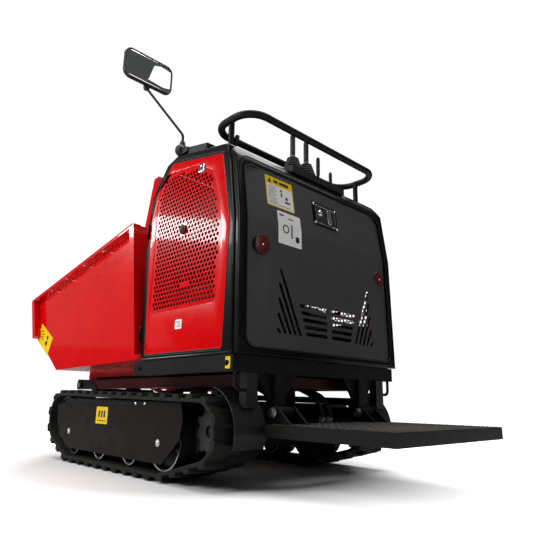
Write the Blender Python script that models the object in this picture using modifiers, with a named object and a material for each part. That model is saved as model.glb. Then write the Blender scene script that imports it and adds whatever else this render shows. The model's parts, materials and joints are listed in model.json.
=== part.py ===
"""Tracked power wheelbarrow: front tipping skip, engine body and ride-on step.

Metres, +Z up, +Y forward towards the skip, +X to the operator's right.
Every place below is given from the machine datum, which lies on the ground under
the rear end of the tracks. The empty "machine" carries the datum to its own place,
so that the middle of the whole machine stands over the origin.
"""
import math

import bmesh
import bpy
from mathutils import Matrix, Vector

# ---- overall ----
DATUM = (0.0845, -0.3275, 0.0)
GAP = 0.0005
SIDES = (("left", -1), ("right", 1))

# ---- tracks (Y, Z and radius of each wheel; X across the belt) ----
BELT_INNER, BELT_OUTER = 0.250, 0.430
BELT_THICKNESS = 0.026
BELT_CLEARANCE = 0.0016
TRACK_CENTRE = (BELT_INNER + BELT_OUTER) / 2
SPROCKET = (-0.140, 0.157, 0.080)
REAR_WHEEL = (0.060, 0.115, 0.089)
IDLER = (0.833, 0.166, 0.089)
ROLLER_Y = (0.275, 0.500, 0.722)
ROLLER_Z, ROLLER_RADIUS = 0.076, 0.050
WHEEL_WIDTH = 0.110
AXLE_RADIUS = 0.012
MOTOR_SHAFT = 0.015
FRAME_PLATE = (0.258, 0.270)
COVER_X = 0.4140

# ---- chassis and base ----
RAIL_INNER, RAIL_OUTER = 0.235, 0.285
RAIL_LOW, RAIL_HIGH = 0.288, 0.3255
BASE_LOW, BASE_HIGH = 0.326, 0.374
BASE_HALF = 0.403
BASE_REAR, BASE_FRONT = -0.273, 0.275

# ---- platform ----
PLATFORM_AXIS = (-0.283, 0.214)
PLATFORM_HALF = 0.292
PLATFORM_REAR, PLATFORM_FRONT = -0.720, -0.290
PLATFORM_TOP, PLATFORM_DEPTH = 0.181, 0.035
SHEET = 0.003

# ---- body (Y, Z outlines) ----
BODY_HALF = 0.402
SIDE_INNER = 0.374
CONSOLE_HALF = SIDE_INNER - GAP
DOOR_OUTLINE = ((0.216, 0.398), (0.244, 0.868), (0.212, 1.002), (0.114, 1.098),
                (-0.187, 1.032), (-0.231, 0.787), (-0.216, 0.395))
DOOR_AXIS = (0.404, 0.2470)
REAR_OUTER = ((-0.293, 0.3745), (-0.284, 0.800), (-0.256, 1.005), (-0.210, 1.0419))
REAR_INNER = ((-0.210, 1.0299), (-0.2331, 0.9975), (-0.259, 0.797), (-0.267, 0.3745))
WINDOW_HALF, WINDOW_LOW, WINDOW_HIGH = 0.3735, 0.3965, 0.9875
PANEL_HALF, PANEL_LOW, PANEL_HIGH = 0.372, 0.398, 0.986
PANEL_AXIS = (-0.2975, 0.398)

# ---- console, rail, levers and mirror ----
CONSOLE_SLOPE = (1.1185 - 1.059) / 0.270
RAIL_Z, RAIL_HALF, RAIL_REAR, RAIL_FRONT = 1.178, 0.362, -0.270, -0.070
RAIL_POST = 0.352
RAIL_TUBE = 0.0135
LEVER_Y, LEVER_PIVOT_Z = -0.200, 1.045
PLINTH_TOP = 1.068
MIRROR_POST = (-0.386, 0.083)
MIRROR_BALL = (-0.494, 0.196, 1.418)

# ---- skip ----
SKIP_HALF = 0.390
SKIP_WALL = 0.004
SKIP_RIM = 0.420
SKIP_AXIS = (0.970, 0.307)
TIP_BARREL = (0.440, 0.160)
TIP_EYE = (0.840, 0.320)


# ---------------------------------------------------------------- scene helpers
def clear_scene():
    """Remove whatever the scene holds."""
    for obj in list(bpy.data.objects):
        bpy.data.objects.remove(obj)


def new_collection(name):
    """Add a collection under the scene."""
    made = bpy.data.collections.new(name)
    bpy.context.scene.collection.children.link(made)
    return made


def new_finish(name, colour, roughness, metallic=0.0):
    """Make one material with a Principled BSDF."""
    finish = bpy.data.materials.new(name)
    finish.use_nodes = True
    shader = finish.node_tree.nodes["Principled BSDF"]
    shader.inputs["Base Color"].default_value = (*colour, 1.0)
    shader.inputs["Roughness"].default_value = roughness
    shader.inputs["Metallic"].default_value = metallic
    return finish


clear_scene()
PARTS = new_collection("power_wheelbarrow")
GUIDES = new_collection("cutters")
FINISHES = {
    "red": new_finish("red_paint", (0.75, 0.004, 0.008), 0.25),
    "dark_red": new_finish("chassis_red_paint", (0.30, 0.004, 0.006), 0.35),
    "black": new_finish("black_paint", (0.012, 0.012, 0.012), 0.40),
    "panel": new_finish("panel_coat", (0.030, 0.030, 0.030), 0.60),
    "cover": new_finish("track_cover_paint", (0.025, 0.019, 0.015), 0.50),
    "rubber": new_finish("rubber", (0.015, 0.015, 0.015), 0.80),
    "plastic": new_finish("black_plastic", (0.020, 0.020, 0.020), 0.45),
    "steel": new_finish("plated_steel", (0.60, 0.60, 0.58), 0.30, 1.0),
    "cast": new_finish("cast_metal", (0.10, 0.10, 0.11), 0.50, 0.6),
    "lens": new_finish("red_lens", (0.50, 0.005, 0.005), 0.15),
}
MACHINE = bpy.data.objects.new("machine", None)
MACHINE.location = DATUM
PARTS.objects.link(MACHINE)


def new_pivot(name, place):
    """Add an empty on a joint's axis for the pieces that move with it."""
    pivot = bpy.data.objects.new(name, None)
    pivot.parent = MACHINE
    pivot.location = place
    PARTS.objects.link(pivot)
    return pivot


def add_object(name, data, finish, place, parent=None, turn=(0.0, 0.0, 0.0)):
    """Link one object, with its place given from the machine datum."""
    data.materials.append(FINISHES[finish])
    obj = bpy.data.objects.new(name, data)
    obj.parent = parent or MACHINE
    obj.location = Vector(place) - (parent.location if parent else Vector())
    obj.rotation_euler = turn
    PARTS.objects.link(obj)
    return obj


def smooth_mesh(name, bm):
    """Turn a bmesh into a mesh whose round faces are shaded smooth."""
    mesh = bpy.data.meshes.new(name)
    bm.to_mesh(mesh)
    bm.free()
    mesh.shade_smooth()
    mesh.set_sharp_from_angle(angle=math.radians(35))
    return mesh


def box(name, low, high, finish, parent=None, turn=(0.0, 0.0, 0.0)):
    """A block between two opposite corners, turned about its own middle."""
    size = Vector(high) - Vector(low)
    bm = bmesh.new()
    bmesh.ops.create_cube(bm, size=1.0, matrix=Matrix.Diagonal((*size, 1.0)))
    return add_object(name, smooth_mesh(name, bm), finish, (Vector(low) + Vector(high)) / 2, parent, turn)


def side_box(name, side, x_range, y_range, z_range, finish, parent=None):
    """A block on one side of the machine; x_range is measured outwards from its middle."""
    low_x, high_x = sorted(side * x for x in x_range)
    low = (low_x, y_range[0], z_range[0])
    high = (high_x, y_range[1], z_range[1])
    return box(name, low, high, finish, parent)


def rod(name, start, end, radius, finish, parent=None, sides=16):
    """A round bar between two points."""
    start, end = Vector(start), Vector(end)
    bm = bmesh.new()
    bmesh.ops.create_cone(bm, cap_ends=True, segments=sides, radius1=radius, radius2=radius,
                          depth=(end - start).length)
    turn = (end - start).to_track_quat("Z", "Y").to_euler()
    return add_object(name, smooth_mesh(name, bm), finish, (start + end) / 2, parent, turn)


def cross_rod(name, reach, y, z, radius, finish, parent=None, sides=16):
    """A round bar along X."""
    return rod(name, (reach[0], y, z), (reach[1], y, z), radius, finish, parent, sides)


AXIS_TURN = {"z": (0.0, 0.0, 0.0), "right": (0.0, math.pi / 2, 0.0),
             "left": (0.0, -math.pi / 2, 0.0), "rear": (math.pi / 2, 0.0, 0.0)}


def turned(name, profile, place, finish, parent=None, along="z", steps=20):
    """Turn a profile of (radius, height) round its own axis; a profile off the axis is closed."""
    bm = bmesh.new()
    points = [bm.verts.new((radius, 0.0, height)) for radius, height in profile]
    for first, second in zip(points, points[1:]):
        bm.edges.new((first, second))
    if profile[0][0] > 0.0:
        bm.edges.new((points[-1], points[0]))
    obj = add_object(name, smooth_mesh(name, bm), finish, place, parent, AXIS_TURN[along])
    screw = obj.modifiers.new("turn", "SCREW")
    screw.steps = steps
    screw.render_steps = steps
    screw.use_merge_vertices = True
    screw.merge_threshold = 0.0001
    return obj


def crossed(name, side_view, rear_view, middle, finish, parent=None):
    """The solid that has one outline from the side, in (Y, Z), and another from behind, in (X, Z)."""
    body = plate(name, (side_view,), "x", 0.0, 1.0, finish, parent)
    view = plate(name + "_view", (rear_view,), "y", middle, 0.3, finish, parent)
    return use_as("INTERSECT", body, (view,))


def bushed(inner, outer, half_width, bevel):
    """The closed profile of a wheel with a bore, from its top edge down its outer side."""
    return ((inner, half_width), (outer - bevel, half_width), (outer, half_width - bevel),
            (outer, bevel - half_width), (outer - bevel, -half_width), (inner, -half_width))


def solid(curve_object):
    """Replace a curve with the closed mesh of the same shape."""
    bpy.context.view_layer.update()
    name, parent = curve_object.name, curve_object.parent
    place = curve_object.matrix_world.copy()
    graph = bpy.context.evaluated_depsgraph_get()
    mesh = bpy.data.meshes.new_from_object(curve_object.evaluated_get(graph))
    bpy.data.objects.remove(curve_object)
    bm = bmesh.new()
    bm.from_mesh(mesh)
    bmesh.ops.remove_doubles(bm, verts=bm.verts, dist=0.00001)
    bmesh.ops.recalc_face_normals(bm, faces=bm.faces)
    bm.to_mesh(mesh)
    bm.free()
    obj = bpy.data.objects.new(name, mesh)
    PARTS.objects.link(obj)
    obj.parent = parent
    bpy.context.view_layer.update()
    obj.matrix_world = place
    return obj


PLATE_TURN = {"x": (math.pi / 2, 0.0, math.pi / 2), "y": (math.pi / 2, 0.0, 0.0), "z": (0.0, 0.0, 0.0)}
PLATE_AXIS = {"x": Vector((1, 0, 0)), "y": Vector((0, 1, 0)), "z": Vector((0, 0, 1))}


def plate(name, outlines, across, middle, thickness, finish, parent=None):
    """A flat plate that faces one axis; its outlines are (Y, Z), (X, Z) or (X, Y) pairs."""
    curve = bpy.data.curves.new(name, "CURVE")
    curve.dimensions = "2D"
    curve.fill_mode = "BOTH"
    curve.extrude = thickness / 2
    for outline in outlines:
        spline = curve.splines.new("POLY")
        spline.points.add(len(outline) - 1)
        for point, (u, v) in zip(spline.points, outline):
            point.co = (u, v, 0.0, 1.0)
        spline.use_cyclic_u = True
    place = PLATE_AXIS[across] * middle
    return solid(add_object(name, curve, finish, place, parent, PLATE_TURN[across]))


def side_plate(name, side, outlines, x_range, finish, parent=None):
    """A plate that faces X on one side of the machine."""
    middle = side * (x_range[0] + x_range[1]) / 2
    return plate(name, outlines, "x", middle, abs(x_range[1] - x_range[0]), finish, parent)


def tube(name, points, radius, finish, parent=None, closed=False, resolution=2):
    """A round tube through points."""
    curve = bpy.data.curves.new(name, "CURVE")
    curve.dimensions = "3D"
    curve.bevel_depth = radius
    curve.bevel_resolution = resolution
    curve.use_fill_caps = True
    spline = curve.splines.new("POLY")
    spline.points.add(len(points) - 1)
    for point, co in zip(spline.points, points):
        point.co = (*co, 1.0)
    spline.use_cyclic_u = closed
    return solid(add_object(name, curve, finish, (0.0, 0.0, 0.0), parent))


def use_as(operation, obj, others):
    """Join or cut an object with others, which become hidden guides."""
    for other in others:
        PARTS.objects.unlink(other)
        GUIDES.objects.link(other)
        other.hide_render = True
        other.display_type = "WIRE"
        step = obj.modifiers.new(other.name, "BOOLEAN")
        step.operation = operation
        step.object = other
        step.solver = "EXACT"
    return obj


def join(obj, *others):
    """Weld other solids to an object."""
    return use_as("UNION", obj, others)


def cut(obj, *others):
    """Take other solids out of an object."""
    return use_as("DIFFERENCE", obj, others)


# ---------------------------------------------------------------- outline helpers
def arc(centre, radius, start, end, steps):
    """Points along an arc, with angles in degrees."""
    turns = [math.radians(start + (end - start) * i / steps) for i in range(steps + 1)]
    return [(centre[0] + radius * math.cos(a), centre[1] + radius * math.sin(a)) for a in turns]


def circle(centre, radius, steps=16):
    """Points round a circle."""
    return arc(centre, radius, 0.0, 360.0, steps)[:-1]


def rounded(points, radius, steps=3):
    """A closed outline with its corners turned to arcs."""
    flat = [Vector((*point, 0.0)) for point in points]
    out = []
    for i, corner in enumerate(flat):
        for point in fillet(flat[i - 1], corner, flat[(i + 1) % len(flat)], radius, steps):
            out.append((point.x, point.y))
    return out


def fillet(before, corner, after, radius, steps):
    """Points of an arc that rounds one corner of a path."""
    u, v = (before - corner).normalized(), (after - corner).normalized()
    half = u.angle(v) / 2
    if half > math.radians(88):
        return [corner]
    reach = min(radius / math.tan(half), 0.45 * (before - corner).length, 0.45 * (after - corner).length)
    start, end = corner + u * reach, corner + v * reach
    centre = corner + (u + v).normalized() * (reach / math.cos(half))
    spoke_a, spoke_b = (start - centre).normalized(), (end - centre).normalized()
    length = (start - centre).length
    return [centre + spoke_a.slerp(spoke_b, i / steps) * length for i in range(steps + 1)]


def rounded_path(points, radius, steps=4, closed=False):
    """A path in space with its corners turned to arcs."""
    path = [Vector(point) for point in points]
    out = []
    for i, corner in enumerate(path):
        if not closed and i in (0, len(path) - 1):
            out.append(corner)
        else:
            out.extend(fillet(path[i - 1], corner, path[(i + 1) % len(path)], radius, steps))
    return out


def box_outline(half, low, high):
    """A rectangle that is symmetric about the machine's middle."""
    return ((-half, low), (half, low), (half, high), (-half, high))


def belt_line(wheels, extra, step=15.0):
    """The closed line of a belt round wheels given as (Y, Z, radius), in turning order."""
    tangents = []
    for i, (y, z, radius) in enumerate(wheels):
        after = wheels[(i + 1) % len(wheels)]
        run = Vector((after[0] - y, after[1] - z))
        lean = math.acos((radius - after[2]) / run.length)
        tangents.append(math.degrees(math.atan2(run.y, run.x) - lean))
    line = []
    for i, (y, z, radius) in enumerate(wheels):
        start, end = tangents[i - 1], tangents[i]
        while end < start:
            end += 360.0
        line += arc((y, z), radius + extra, start, end, max(1, round((end - start) / step)))
    return line


def inset(outline, distance):
    """Move a closed outline towards its middle."""
    flat = [Vector(point) for point in outline]
    area = sum(a.x * b.y - b.x * a.y for a, b in zip(flat, flat[1:] + flat[:1]))
    sign = 1.0 if area > 0 else -1.0
    out = []
    for i, corner in enumerate(flat):
        before = (corner - flat[i - 1]).normalized()
        after = (flat[(i + 1) % len(flat)] - corner).normalized()
        normal_a = Vector((-before.y, before.x)) * sign
        normal_b = Vector((-after.y, after.x)) * sign
        middle = (normal_a + normal_b).normalized()
        out.append(tuple(corner + middle * (distance / middle.dot(normal_a))))
    return out


# ---------------------------------------------------------------- undercarriage
def track_frame(tag, side):
    """Side plate of a track with the stub axles of its wheels."""
    outline = ((-0.190, 0.120), (-0.030, 0.075), (0.740, 0.060), (0.865, 0.150), (0.865, 0.190),
               (0.800, 0.225), (-0.060, 0.225), (-0.190, 0.200))
    motor_hole = circle(SPROCKET[:2], 0.024)
    frame = side_plate("track_frame_" + tag, side, (outline, motor_hole), FRAME_PLATE, "black")
    axles = [REAR_WHEEL[:2], IDLER[:2]] + [(y, ROLLER_Z) for y in ROLLER_Y]
    for number, (y, z) in enumerate(axles):
        reach = (side * (FRAME_PLATE[0] + 0.004), side * (COVER_X - 0.0025))
        join(frame, cross_rod("stub_%d_%s" % (number, tag), reach, y, z, AXLE_RADIUS, "steel", sides=12))


def track_belt(tag, side):
    """Closed rubber track."""
    wheels = (REAR_WHEEL, (ROLLER_Y[2], ROLLER_Z, ROLLER_RADIUS), IDLER, SPROCKET)
    outlines = (belt_line(wheels, BELT_THICKNESS), belt_line(wheels, BELT_CLEARANCE))
    side_plate("track_belt_" + tag, side, outlines, (BELT_INNER, BELT_OUTER), "rubber")


def track_cover(tag, side):
    """Flat outer cover inside the loop of the belt."""
    outline = ((0.889, 0.222), (-0.055, 0.225), (-0.062, 0.185), (-0.051, 0.129), (0.042, 0.051),
               (0.748, 0.053), (0.813, 0.092), (0.864, 0.154))
    side_plate("track_cover_" + tag, side, (rounded(outline, 0.010, 2),),
               (COVER_X - 0.002, COVER_X + 0.002), "cover")


def drive_sprocket(tag, side):
    """Toothed wheel that drives the belt."""
    teeth = 10
    outline = []
    for i in range(teeth):
        for share, radius in ((0.05, 0.064), (0.40, 0.064), (0.58, SPROCKET[2] - 0.001),
                              (0.87, SPROCKET[2] - 0.001)):
            turn = math.tau * (i + share) / teeth
            outline.append((radius * math.cos(turn), radius * math.sin(turn)))
    centre = (side * TRACK_CENTRE, SPROCKET[0], SPROCKET[1])
    pivot = new_pivot("sprocket_axis_" + tag, centre)
    outlines = [[(SPROCKET[0] + y, SPROCKET[1] + z) for y, z in ring]
                for ring in (outline, circle((0.0, 0.0), MOTOR_SHAFT + GAP))]
    side_plate("drive_sprocket_" + tag, side, outlines,
               (TRACK_CENTRE - 0.023, TRACK_CENTRE + 0.023), "cast", pivot)


def wheel(name, side, wheel_place, half_width, bevel, finish):
    """Plain wheel on a stub axle."""
    y, z, radius = wheel_place
    return turned(name, bushed(AXLE_RADIUS + GAP, radius, half_width, bevel),
                  (side * TRACK_CENTRE, y, z), finish, along="right", steps=18)


def travel_motor(tag, side):
    """Hydraulic motor with its shaft through the sprocket."""
    profile = ((0.0, 0.365), (MOTOR_SHAFT, 0.365), (MOTOR_SHAFT, 0.2575), (0.050, 0.2575), (0.050, 0.240),
               (0.040, 0.240), (0.040, 0.165), (0.030, 0.155), (0.0, 0.155))
    turned("travel_motor_" + tag, profile, (0.0, SPROCKET[0], SPROCKET[1]), "cast", along=tag, steps=18)


def mudguard(tag, side):
    """Curved sheet behind a track, hung from the base frame."""
    centre = SPROCKET[:2]
    outline = arc(centre, 0.1310, 102.0, 200.0, 10) + arc(centre, 0.1280, 200.0, 102.0, 10)
    guard = side_plate("mudguard_" + tag, side, (outline,), (0.270, 0.385), "plastic")
    join(guard, side_box("mudguard_arm_" + tag, side, (0.300, 0.345), (-0.268, -0.238),
                         (0.2260, BASE_LOW - GAP), "plastic"))


def undercarriage():
    """Both tracks, with their frames, motors and covers."""
    for tag, side in SIDES:
        track_frame(tag, side)
        track_belt(tag, side)
        track_cover(tag, side)
        drive_sprocket(tag, side)
        wheel("front_idler_" + tag, side, IDLER, WHEEL_WIDTH / 2, 0.008, "cast")
        wheel("rear_wheel_" + tag, side, REAR_WHEEL, WHEEL_WIDTH / 2, 0.008, "cast")
        for number, y in enumerate(ROLLER_Y, 1):
            wheel("track_roller_%d_%s" % (number, tag), side, (y, ROLLER_Z, ROLLER_RADIUS),
                  WHEEL_WIDTH / 2, 0.006, "cast")
        travel_motor(tag, side)
        mudguard(tag, side)


# ---------------------------------------------------------------- frames
def chassis_frame():
    """Red welded chassis: two rails, cross members and the legs to the track frames."""
    reach = RAIL_INNER + 0.002
    frame = box("chassis_frame", (-reach, 0.270, RAIL_LOW), (reach, 0.330, RAIL_HIGH), "dark_red")
    rear_low, rear_high = (-0.237, -0.200, RAIL_LOW + 0.001), (0.237, -0.150, RAIL_HIGH - 0.001)
    pieces = [box("cross_rear", rear_low, rear_high, "dark_red"),
              box("cross_front", (-0.245, 0.900, 0.255), (0.245, 0.940, RAIL_LOW + 0.004), "dark_red")]
    for number, y in enumerate((0.120, 0.585)):
        pieces.append(box("axle_beam_%d" % number, (GAP - FRAME_PLATE[0], y - 0.030, 0.105),
                          (FRAME_PLATE[0] - GAP, y + 0.030, 0.165), "dark_red"))
    lug_y, lug_z = TIP_BARREL
    beam_rear, beam_front = lug_y - 0.070, lug_y - 0.030
    pieces.append(box("cylinder_beam", (-0.215, beam_rear, 0.120), (0.215, beam_front, 0.170), "dark_red"))
    for number, x in enumerate((-0.026, 0.026)):
        ear = rounded(((lug_y - 0.050, lug_z - 0.030), (lug_y + 0.022, lug_z - 0.022),
                       (lug_y + 0.022, lug_z + 0.022), (lug_y - 0.050, lug_z + 0.008)), 0.015)
        pieces.append(plate("cylinder_lug_%d" % number, (ear,), "x", x, 0.008, "dark_red"))
    for tag, side in SIDES:
        pieces.append(side_box("rail_" + tag, side, (RAIL_INNER, RAIL_OUTER), (-0.200, 0.998),
                               (RAIL_LOW, RAIL_HIGH), "dark_red"))
        for number, y in enumerate((0.120, 0.585)):
            pieces.append(side_box("leg_%d_%s" % (number, tag), side, (0.205, 0.2480),
                                   (y - 0.025, y + 0.025), (0.150, RAIL_LOW + 0.006), "dark_red"))
        tie = side_box("tie_" + tag, side, (0.170, 0.213), (0.100, 0.600), (0.115, 0.150), "dark_red")
        pieces.append(tie)
    pieces.append(cross_rod("cylinder_pin", (-0.034, 0.034), *TIP_BARREL, 0.008, "steel", sides=12))
    join(frame, *pieces)
    cut(frame, cross_rod("pivot_bores", (-0.3, 0.3), *SKIP_AXIS, 0.0105, "steel"))


def base_frame():
    """Black frame under the engine body, with the two rear posts that carry the platform."""
    beam = 0.040
    frame = box("base_frame", (-BASE_HALF, BASE_REAR, BASE_LOW), (BASE_HALF, BASE_FRONT, BASE_HIGH), "black")
    cut(frame, box("base_well", (beam - BASE_HALF, BASE_REAR + beam, 0.0),
                   (BASE_HALF - beam, BASE_FRONT - beam, 0.5), "black"))
    pieces = [box("base_floor", (beam - BASE_HALF - 0.002, BASE_REAR + beam - 0.002, 0.356),
                  (BASE_HALF - beam + 0.002, BASE_FRONT - beam + 0.002, 0.362), "black")]
    axis_y, axis_z = PLATFORM_AXIS
    for tag, side in SIDES:
        post = side_box("post_" + tag, side, (0.187, 0.233), (-0.2725, -0.2325), (0.150, 0.340), "black")
        pieces.append(post)
        gusset = [(side * x, z) for x, z in ((0.112, 0.340), (0.308, 0.340), (0.236, 0.240), (0.184, 0.240))]
        pieces.append(plate("gusset_" + tag, (gusset,), "y", -0.252, 0.008, "black"))
        pieces.append(side_box("stop_" + tag, side, (0.190, 0.230), (PLATFORM_FRONT + GAP, -0.260),
                               (0.151, 0.171), "black"))
        sleeve = (side * 0.178, side * 0.238)
        pieces.append(cross_rod("sleeve_" + tag, sleeve, axis_y, axis_z, 0.017, "black"))
    join(frame, *pieces)
    cut(frame, cross_rod("sleeve_bores", (-0.3, 0.3), axis_y, axis_z, 0.0085, "steel", sides=12))


# ---------------------------------------------------------------- platform
def platform():
    """Folding step: a pan of chequer plate with four ears on two hinge pins."""
    axis_y, axis_z = PLATFORM_AXIS
    pivot = new_pivot("platform_axis", (0.0, axis_y, axis_z))
    low = PLATFORM_TOP - PLATFORM_DEPTH
    deck = box("platform_deck", (-PLATFORM_HALF, PLATFORM_REAR, low),
               (PLATFORM_HALF, PLATFORM_FRONT, PLATFORM_TOP), "black", pivot)
    cut(deck, box("deck_hollow", (SHEET - PLATFORM_HALF, PLATFORM_REAR + SHEET, low - 0.01),
                  (PLATFORM_HALF - SHEET, PLATFORM_FRONT - SHEET, PLATFORM_TOP - SHEET), "black", pivot))
    ears = []
    for tag, side in SIDES:
        for number, x in enumerate((0.172, 0.244)):
            outline = [(-0.352, PLATFORM_TOP - 0.002), (PLATFORM_FRONT - GAP, PLATFORM_TOP - 0.002)]
            outline += arc(PLATFORM_AXIS, 0.020, -25.0, 135.0, 8)
            ears.append(plate("ear_%d_%s" % (number, tag), (outline,), "x", side * x, 0.008, "black", pivot))
        pin = ((0.0, 0.264), (0.013, 0.264), (0.013, 0.2525), (0.008, 0.2525), (0.008, 0.1635),
               (0.013, 0.1635), (0.013, 0.152), (0.0, 0.152))
        turned("platform_pin_" + tag, pin, (0.0, axis_y, axis_z), "steel", along=tag, steps=12)
    join(deck, *ears)
    cut(deck, cross_rod("ear_bores", (-0.3, 0.3), axis_y, axis_z, 0.0085, "steel", pivot, sides=12))


# ---------------------------------------------------------------- body
def side_frame(tag, side):
    """Frame ring round a side door."""
    outline = ((0.238, 0.3745), (0.262, 0.792), (0.240, 0.990), (0.148, 1.103), (0.083, 1.120),
               (-0.190, 1.0585), (-0.2095, 1.0424), (-0.2095, 1.0292), (-0.2326, 0.9970), (-0.2585, 0.797),
               (-0.2665, 0.3745))
    side_plate("side_frame_" + tag, side, (outline, rounded(inset(DOOR_OUTLINE, -0.003), 0.012, 2)),
               (SIDE_INNER, BODY_HALF), "black")


def side_door(tag, side):
    """Door pan, hinged on an upright axis along its front edge."""
    axis_x, axis_y = DOOR_AXIS
    pivot = new_pivot("door_axis_" + tag, (side * axis_x, axis_y, 0.0))
    door = side_plate("side_door_" + tag, side, (rounded(DOOR_OUTLINE, 0.010, 2),),
                      (BODY_HALF - 0.014, BODY_HALF - 0.001), "red", pivot)
    cut(door, side_plate("door_pan_" + tag, side, (inset(DOOR_OUTLINE, 0.004),),
                         (BODY_HALF - 0.030, BODY_HALF - 0.003), "red", pivot))


def rear_frame():
    """Frame of the rear panel, wrapped round the body's rear edges."""
    frame = plate("rear_frame", (REAR_OUTER + REAR_INNER,), "x", 0.0, 2 * BODY_HALF, "black")
    window = rounded(box_outline(WINDOW_HALF, WINDOW_LOW, WINDOW_HIGH), 0.036, 4)
    cut(frame, plate("rear_window", (window,), "y", -0.25, 0.2, "black"))


def vent_slots():
    """Outlines of the rear panel's vents: two fans of slanted slots round two stacks of level ones."""
    slots = []
    slope = -0.088 / 0.205
    for number in range(5):
        top = 0.652 - 0.048 * number
        start = -0.240 - 0.004 * number
        bottom = 0.447
        end = start - slope * (top - bottom) + 0.002 * number
        slots.append(((start, top), (start + 0.013, top + 0.002), (end + 0.013, bottom), (end, bottom)))
    for number in range(5):
        z = 0.552 - 0.0225 * number
        outer = -0.148 + 0.007 * number
        slots.append(((outer, z), (-0.012, z), (-0.012, z - 0.012), (outer + 0.003, z - 0.012)))
    return slots + [tuple((-x, z) for x, z in outline) for outline in slots]


def rear_panel():
    """Louvred rear panel with its reflectors, latch plate and paddle."""
    axis_y, axis_z = PANEL_AXIS
    pivot = new_pivot("panel_axis", (0.0, axis_y, axis_z))
    profile = ((-0.2979, 0.380), (-0.2885, 0.800), (-0.2600, 0.996), (-0.2550, 0.996), (-0.2835, 0.7993),
               (-0.2929, 0.380))
    shape = rounded(box_outline(PANEL_HALF, PANEL_LOW, PANEL_HIGH), 0.034, 4)
    panel = crossed("rear_panel", profile, shape, -0.27, "panel", pivot)
    for number, outline in enumerate(vent_slots()):
        cut(panel, plate("vent_%d" % number, (outline,), "y", -0.28, 0.1, "panel", pivot))
    lean = math.atan2(0.027, 0.186)
    latch = box("rear_latch_plate", (-0.060, -0.2785, 0.852), (0.080, -0.2745, 0.942), "steel", pivot)
    latch.rotation_euler = (-lean, 0.0, 0.0)
    latch.location = Vector((0.010, -0.2773, 0.897)) - pivot.location
    paddle_pivot = new_pivot("paddle_axis", (0.010, -0.2790, 0.926))
    low, high = (-0.022, -0.2860, 0.872), (0.042, -0.2820, 0.922)
    paddle = box("rear_latch_paddle", low, high, "steel", paddle_pivot)
    paddle.rotation_euler = (-lean, 0.0, 0.0)
    paddle.location = Vector((0.010, -0.2832, 0.897)) - paddle_pivot.location
    for tag, side in SIDES:
        disc = ((0.0, 0.008), (0.026, 0.008), (0.0325, 0.003), (0.0325, -0.002), (0.0, -0.002))
        turned("reflector_" + tag, disc, (side * 0.314, -0.2937, 0.714), "lens", pivot, "rear", 24)


def front_panel():
    """Sheet between the engine and the skip."""
    outline = ((0.220, BASE_HIGH + GAP), (0.240, 0.790), (0.222, 0.985), (0.1505, 1.0740), (0.1465, 1.0715),
               (0.2175, 0.983), (0.235, 0.789), (0.215, BASE_HIGH + GAP))
    plate("front_panel", (outline,), "x", 0.0, 2 * CONSOLE_HALF, "black")


def console_height(y):
    """Height of the console's upper face."""
    return 1.059 + CONSOLE_SLOPE * (y + 0.190)


LEVER_X = {"left": -0.083, "right": -0.008, "tip": 0.062, "throttle": 0.138}


def top_console():
    """Console sheet with a raised lever block, its four lever holes and their pivot bar."""
    outline = ((-0.2093, 1.0426), (-0.190, 1.0590), (0.080, 1.1185), (0.148, 1.1015), (0.148, 1.0835),
               (0.080, 1.1000), (-0.186, 1.0415), (-0.2093, 1.0330))
    console = plate("top_console", (outline,), "x", 0.0, 2 * CONSOLE_HALF, "plastic")
    join(console, box("lever_block", (-0.128, -0.242, 1.0427), (0.170, -0.160, PLINTH_TOP), "plastic"))
    for name, radius in (("left", 0.027), ("right", 0.027), ("tip", 0.017), ("throttle", 0.020)):
        foot, top = (LEVER_X[name], LEVER_Y, 1.0), (LEVER_X[name], LEVER_Y, 1.1)
        hole = rod("hole_" + name, foot, top, radius, "plastic")
        cut(console, hole)
    join(console, cross_rod("lever_bar", (-0.120, 0.165), LEVER_Y, LEVER_PIVOT_Z, 0.004, "steel", sides=8))


def hand_lever(name, x, height, grip, finish="plastic"):
    """Lever with a bored foot on the pivot bar, and a thicker grip."""
    pivot = new_pivot(name + "_axis", (x, LEVER_Y, LEVER_PIVOT_Z))
    top = LEVER_PIVOT_Z + height
    profile = ((0.0, top), (grip * 0.8, top), (grip, top - 0.004), (grip, top - 0.35 * height),
               (0.0055, top - 0.40 * height), (0.0055, LEVER_PIVOT_Z), (0.0, LEVER_PIVOT_Z))
    lever = turned(name, profile, (x, LEVER_Y, 0.0), finish, pivot, steps=12)
    foot, bore = (x - 0.008, x + 0.008), (x - 0.03, x + 0.03)
    join(lever, cross_rod(name + "_foot", foot, LEVER_Y, LEVER_PIVOT_Z, 0.0095, finish, pivot, 12))
    cut(lever, cross_rod(name + "_bore", bore, LEVER_Y, LEVER_PIVOT_Z, 0.0047, finish, pivot, 8))


def levers():
    """Drive levers in their rubber boots, and the smaller levers."""
    hand_lever("drive_lever_left", LEVER_X["left"], 0.180, 0.0095)
    hand_lever("drive_lever_right", LEVER_X["right"], 0.180, 0.0095)
    hand_lever("tip_lever", LEVER_X["tip"], 0.138, 0.0070)
    hand_lever("throttle_lever", LEVER_X["throttle"], 0.100, 0.0065)
    boot = ((0.0245, 0.060), (0.0275, 0.060), (0.0360, 0.004), (0.0360, 0.0), (0.0290, 0.0))
    for tag in ("left", "right"):
        turned("lever_boot_" + tag, boot, (LEVER_X[tag], LEVER_Y, PLINTH_TOP + GAP), "rubber", steps=18)
    key = ((0.0, 0.026), (0.008, 0.026), (0.008, 0.010), (0.015, 0.008), (0.015, 0.0), (0.0, 0.0))
    turned("key_switch", key, (0.215, -0.190, console_height(-0.175) + GAP), "steel", steps=14)


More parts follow.
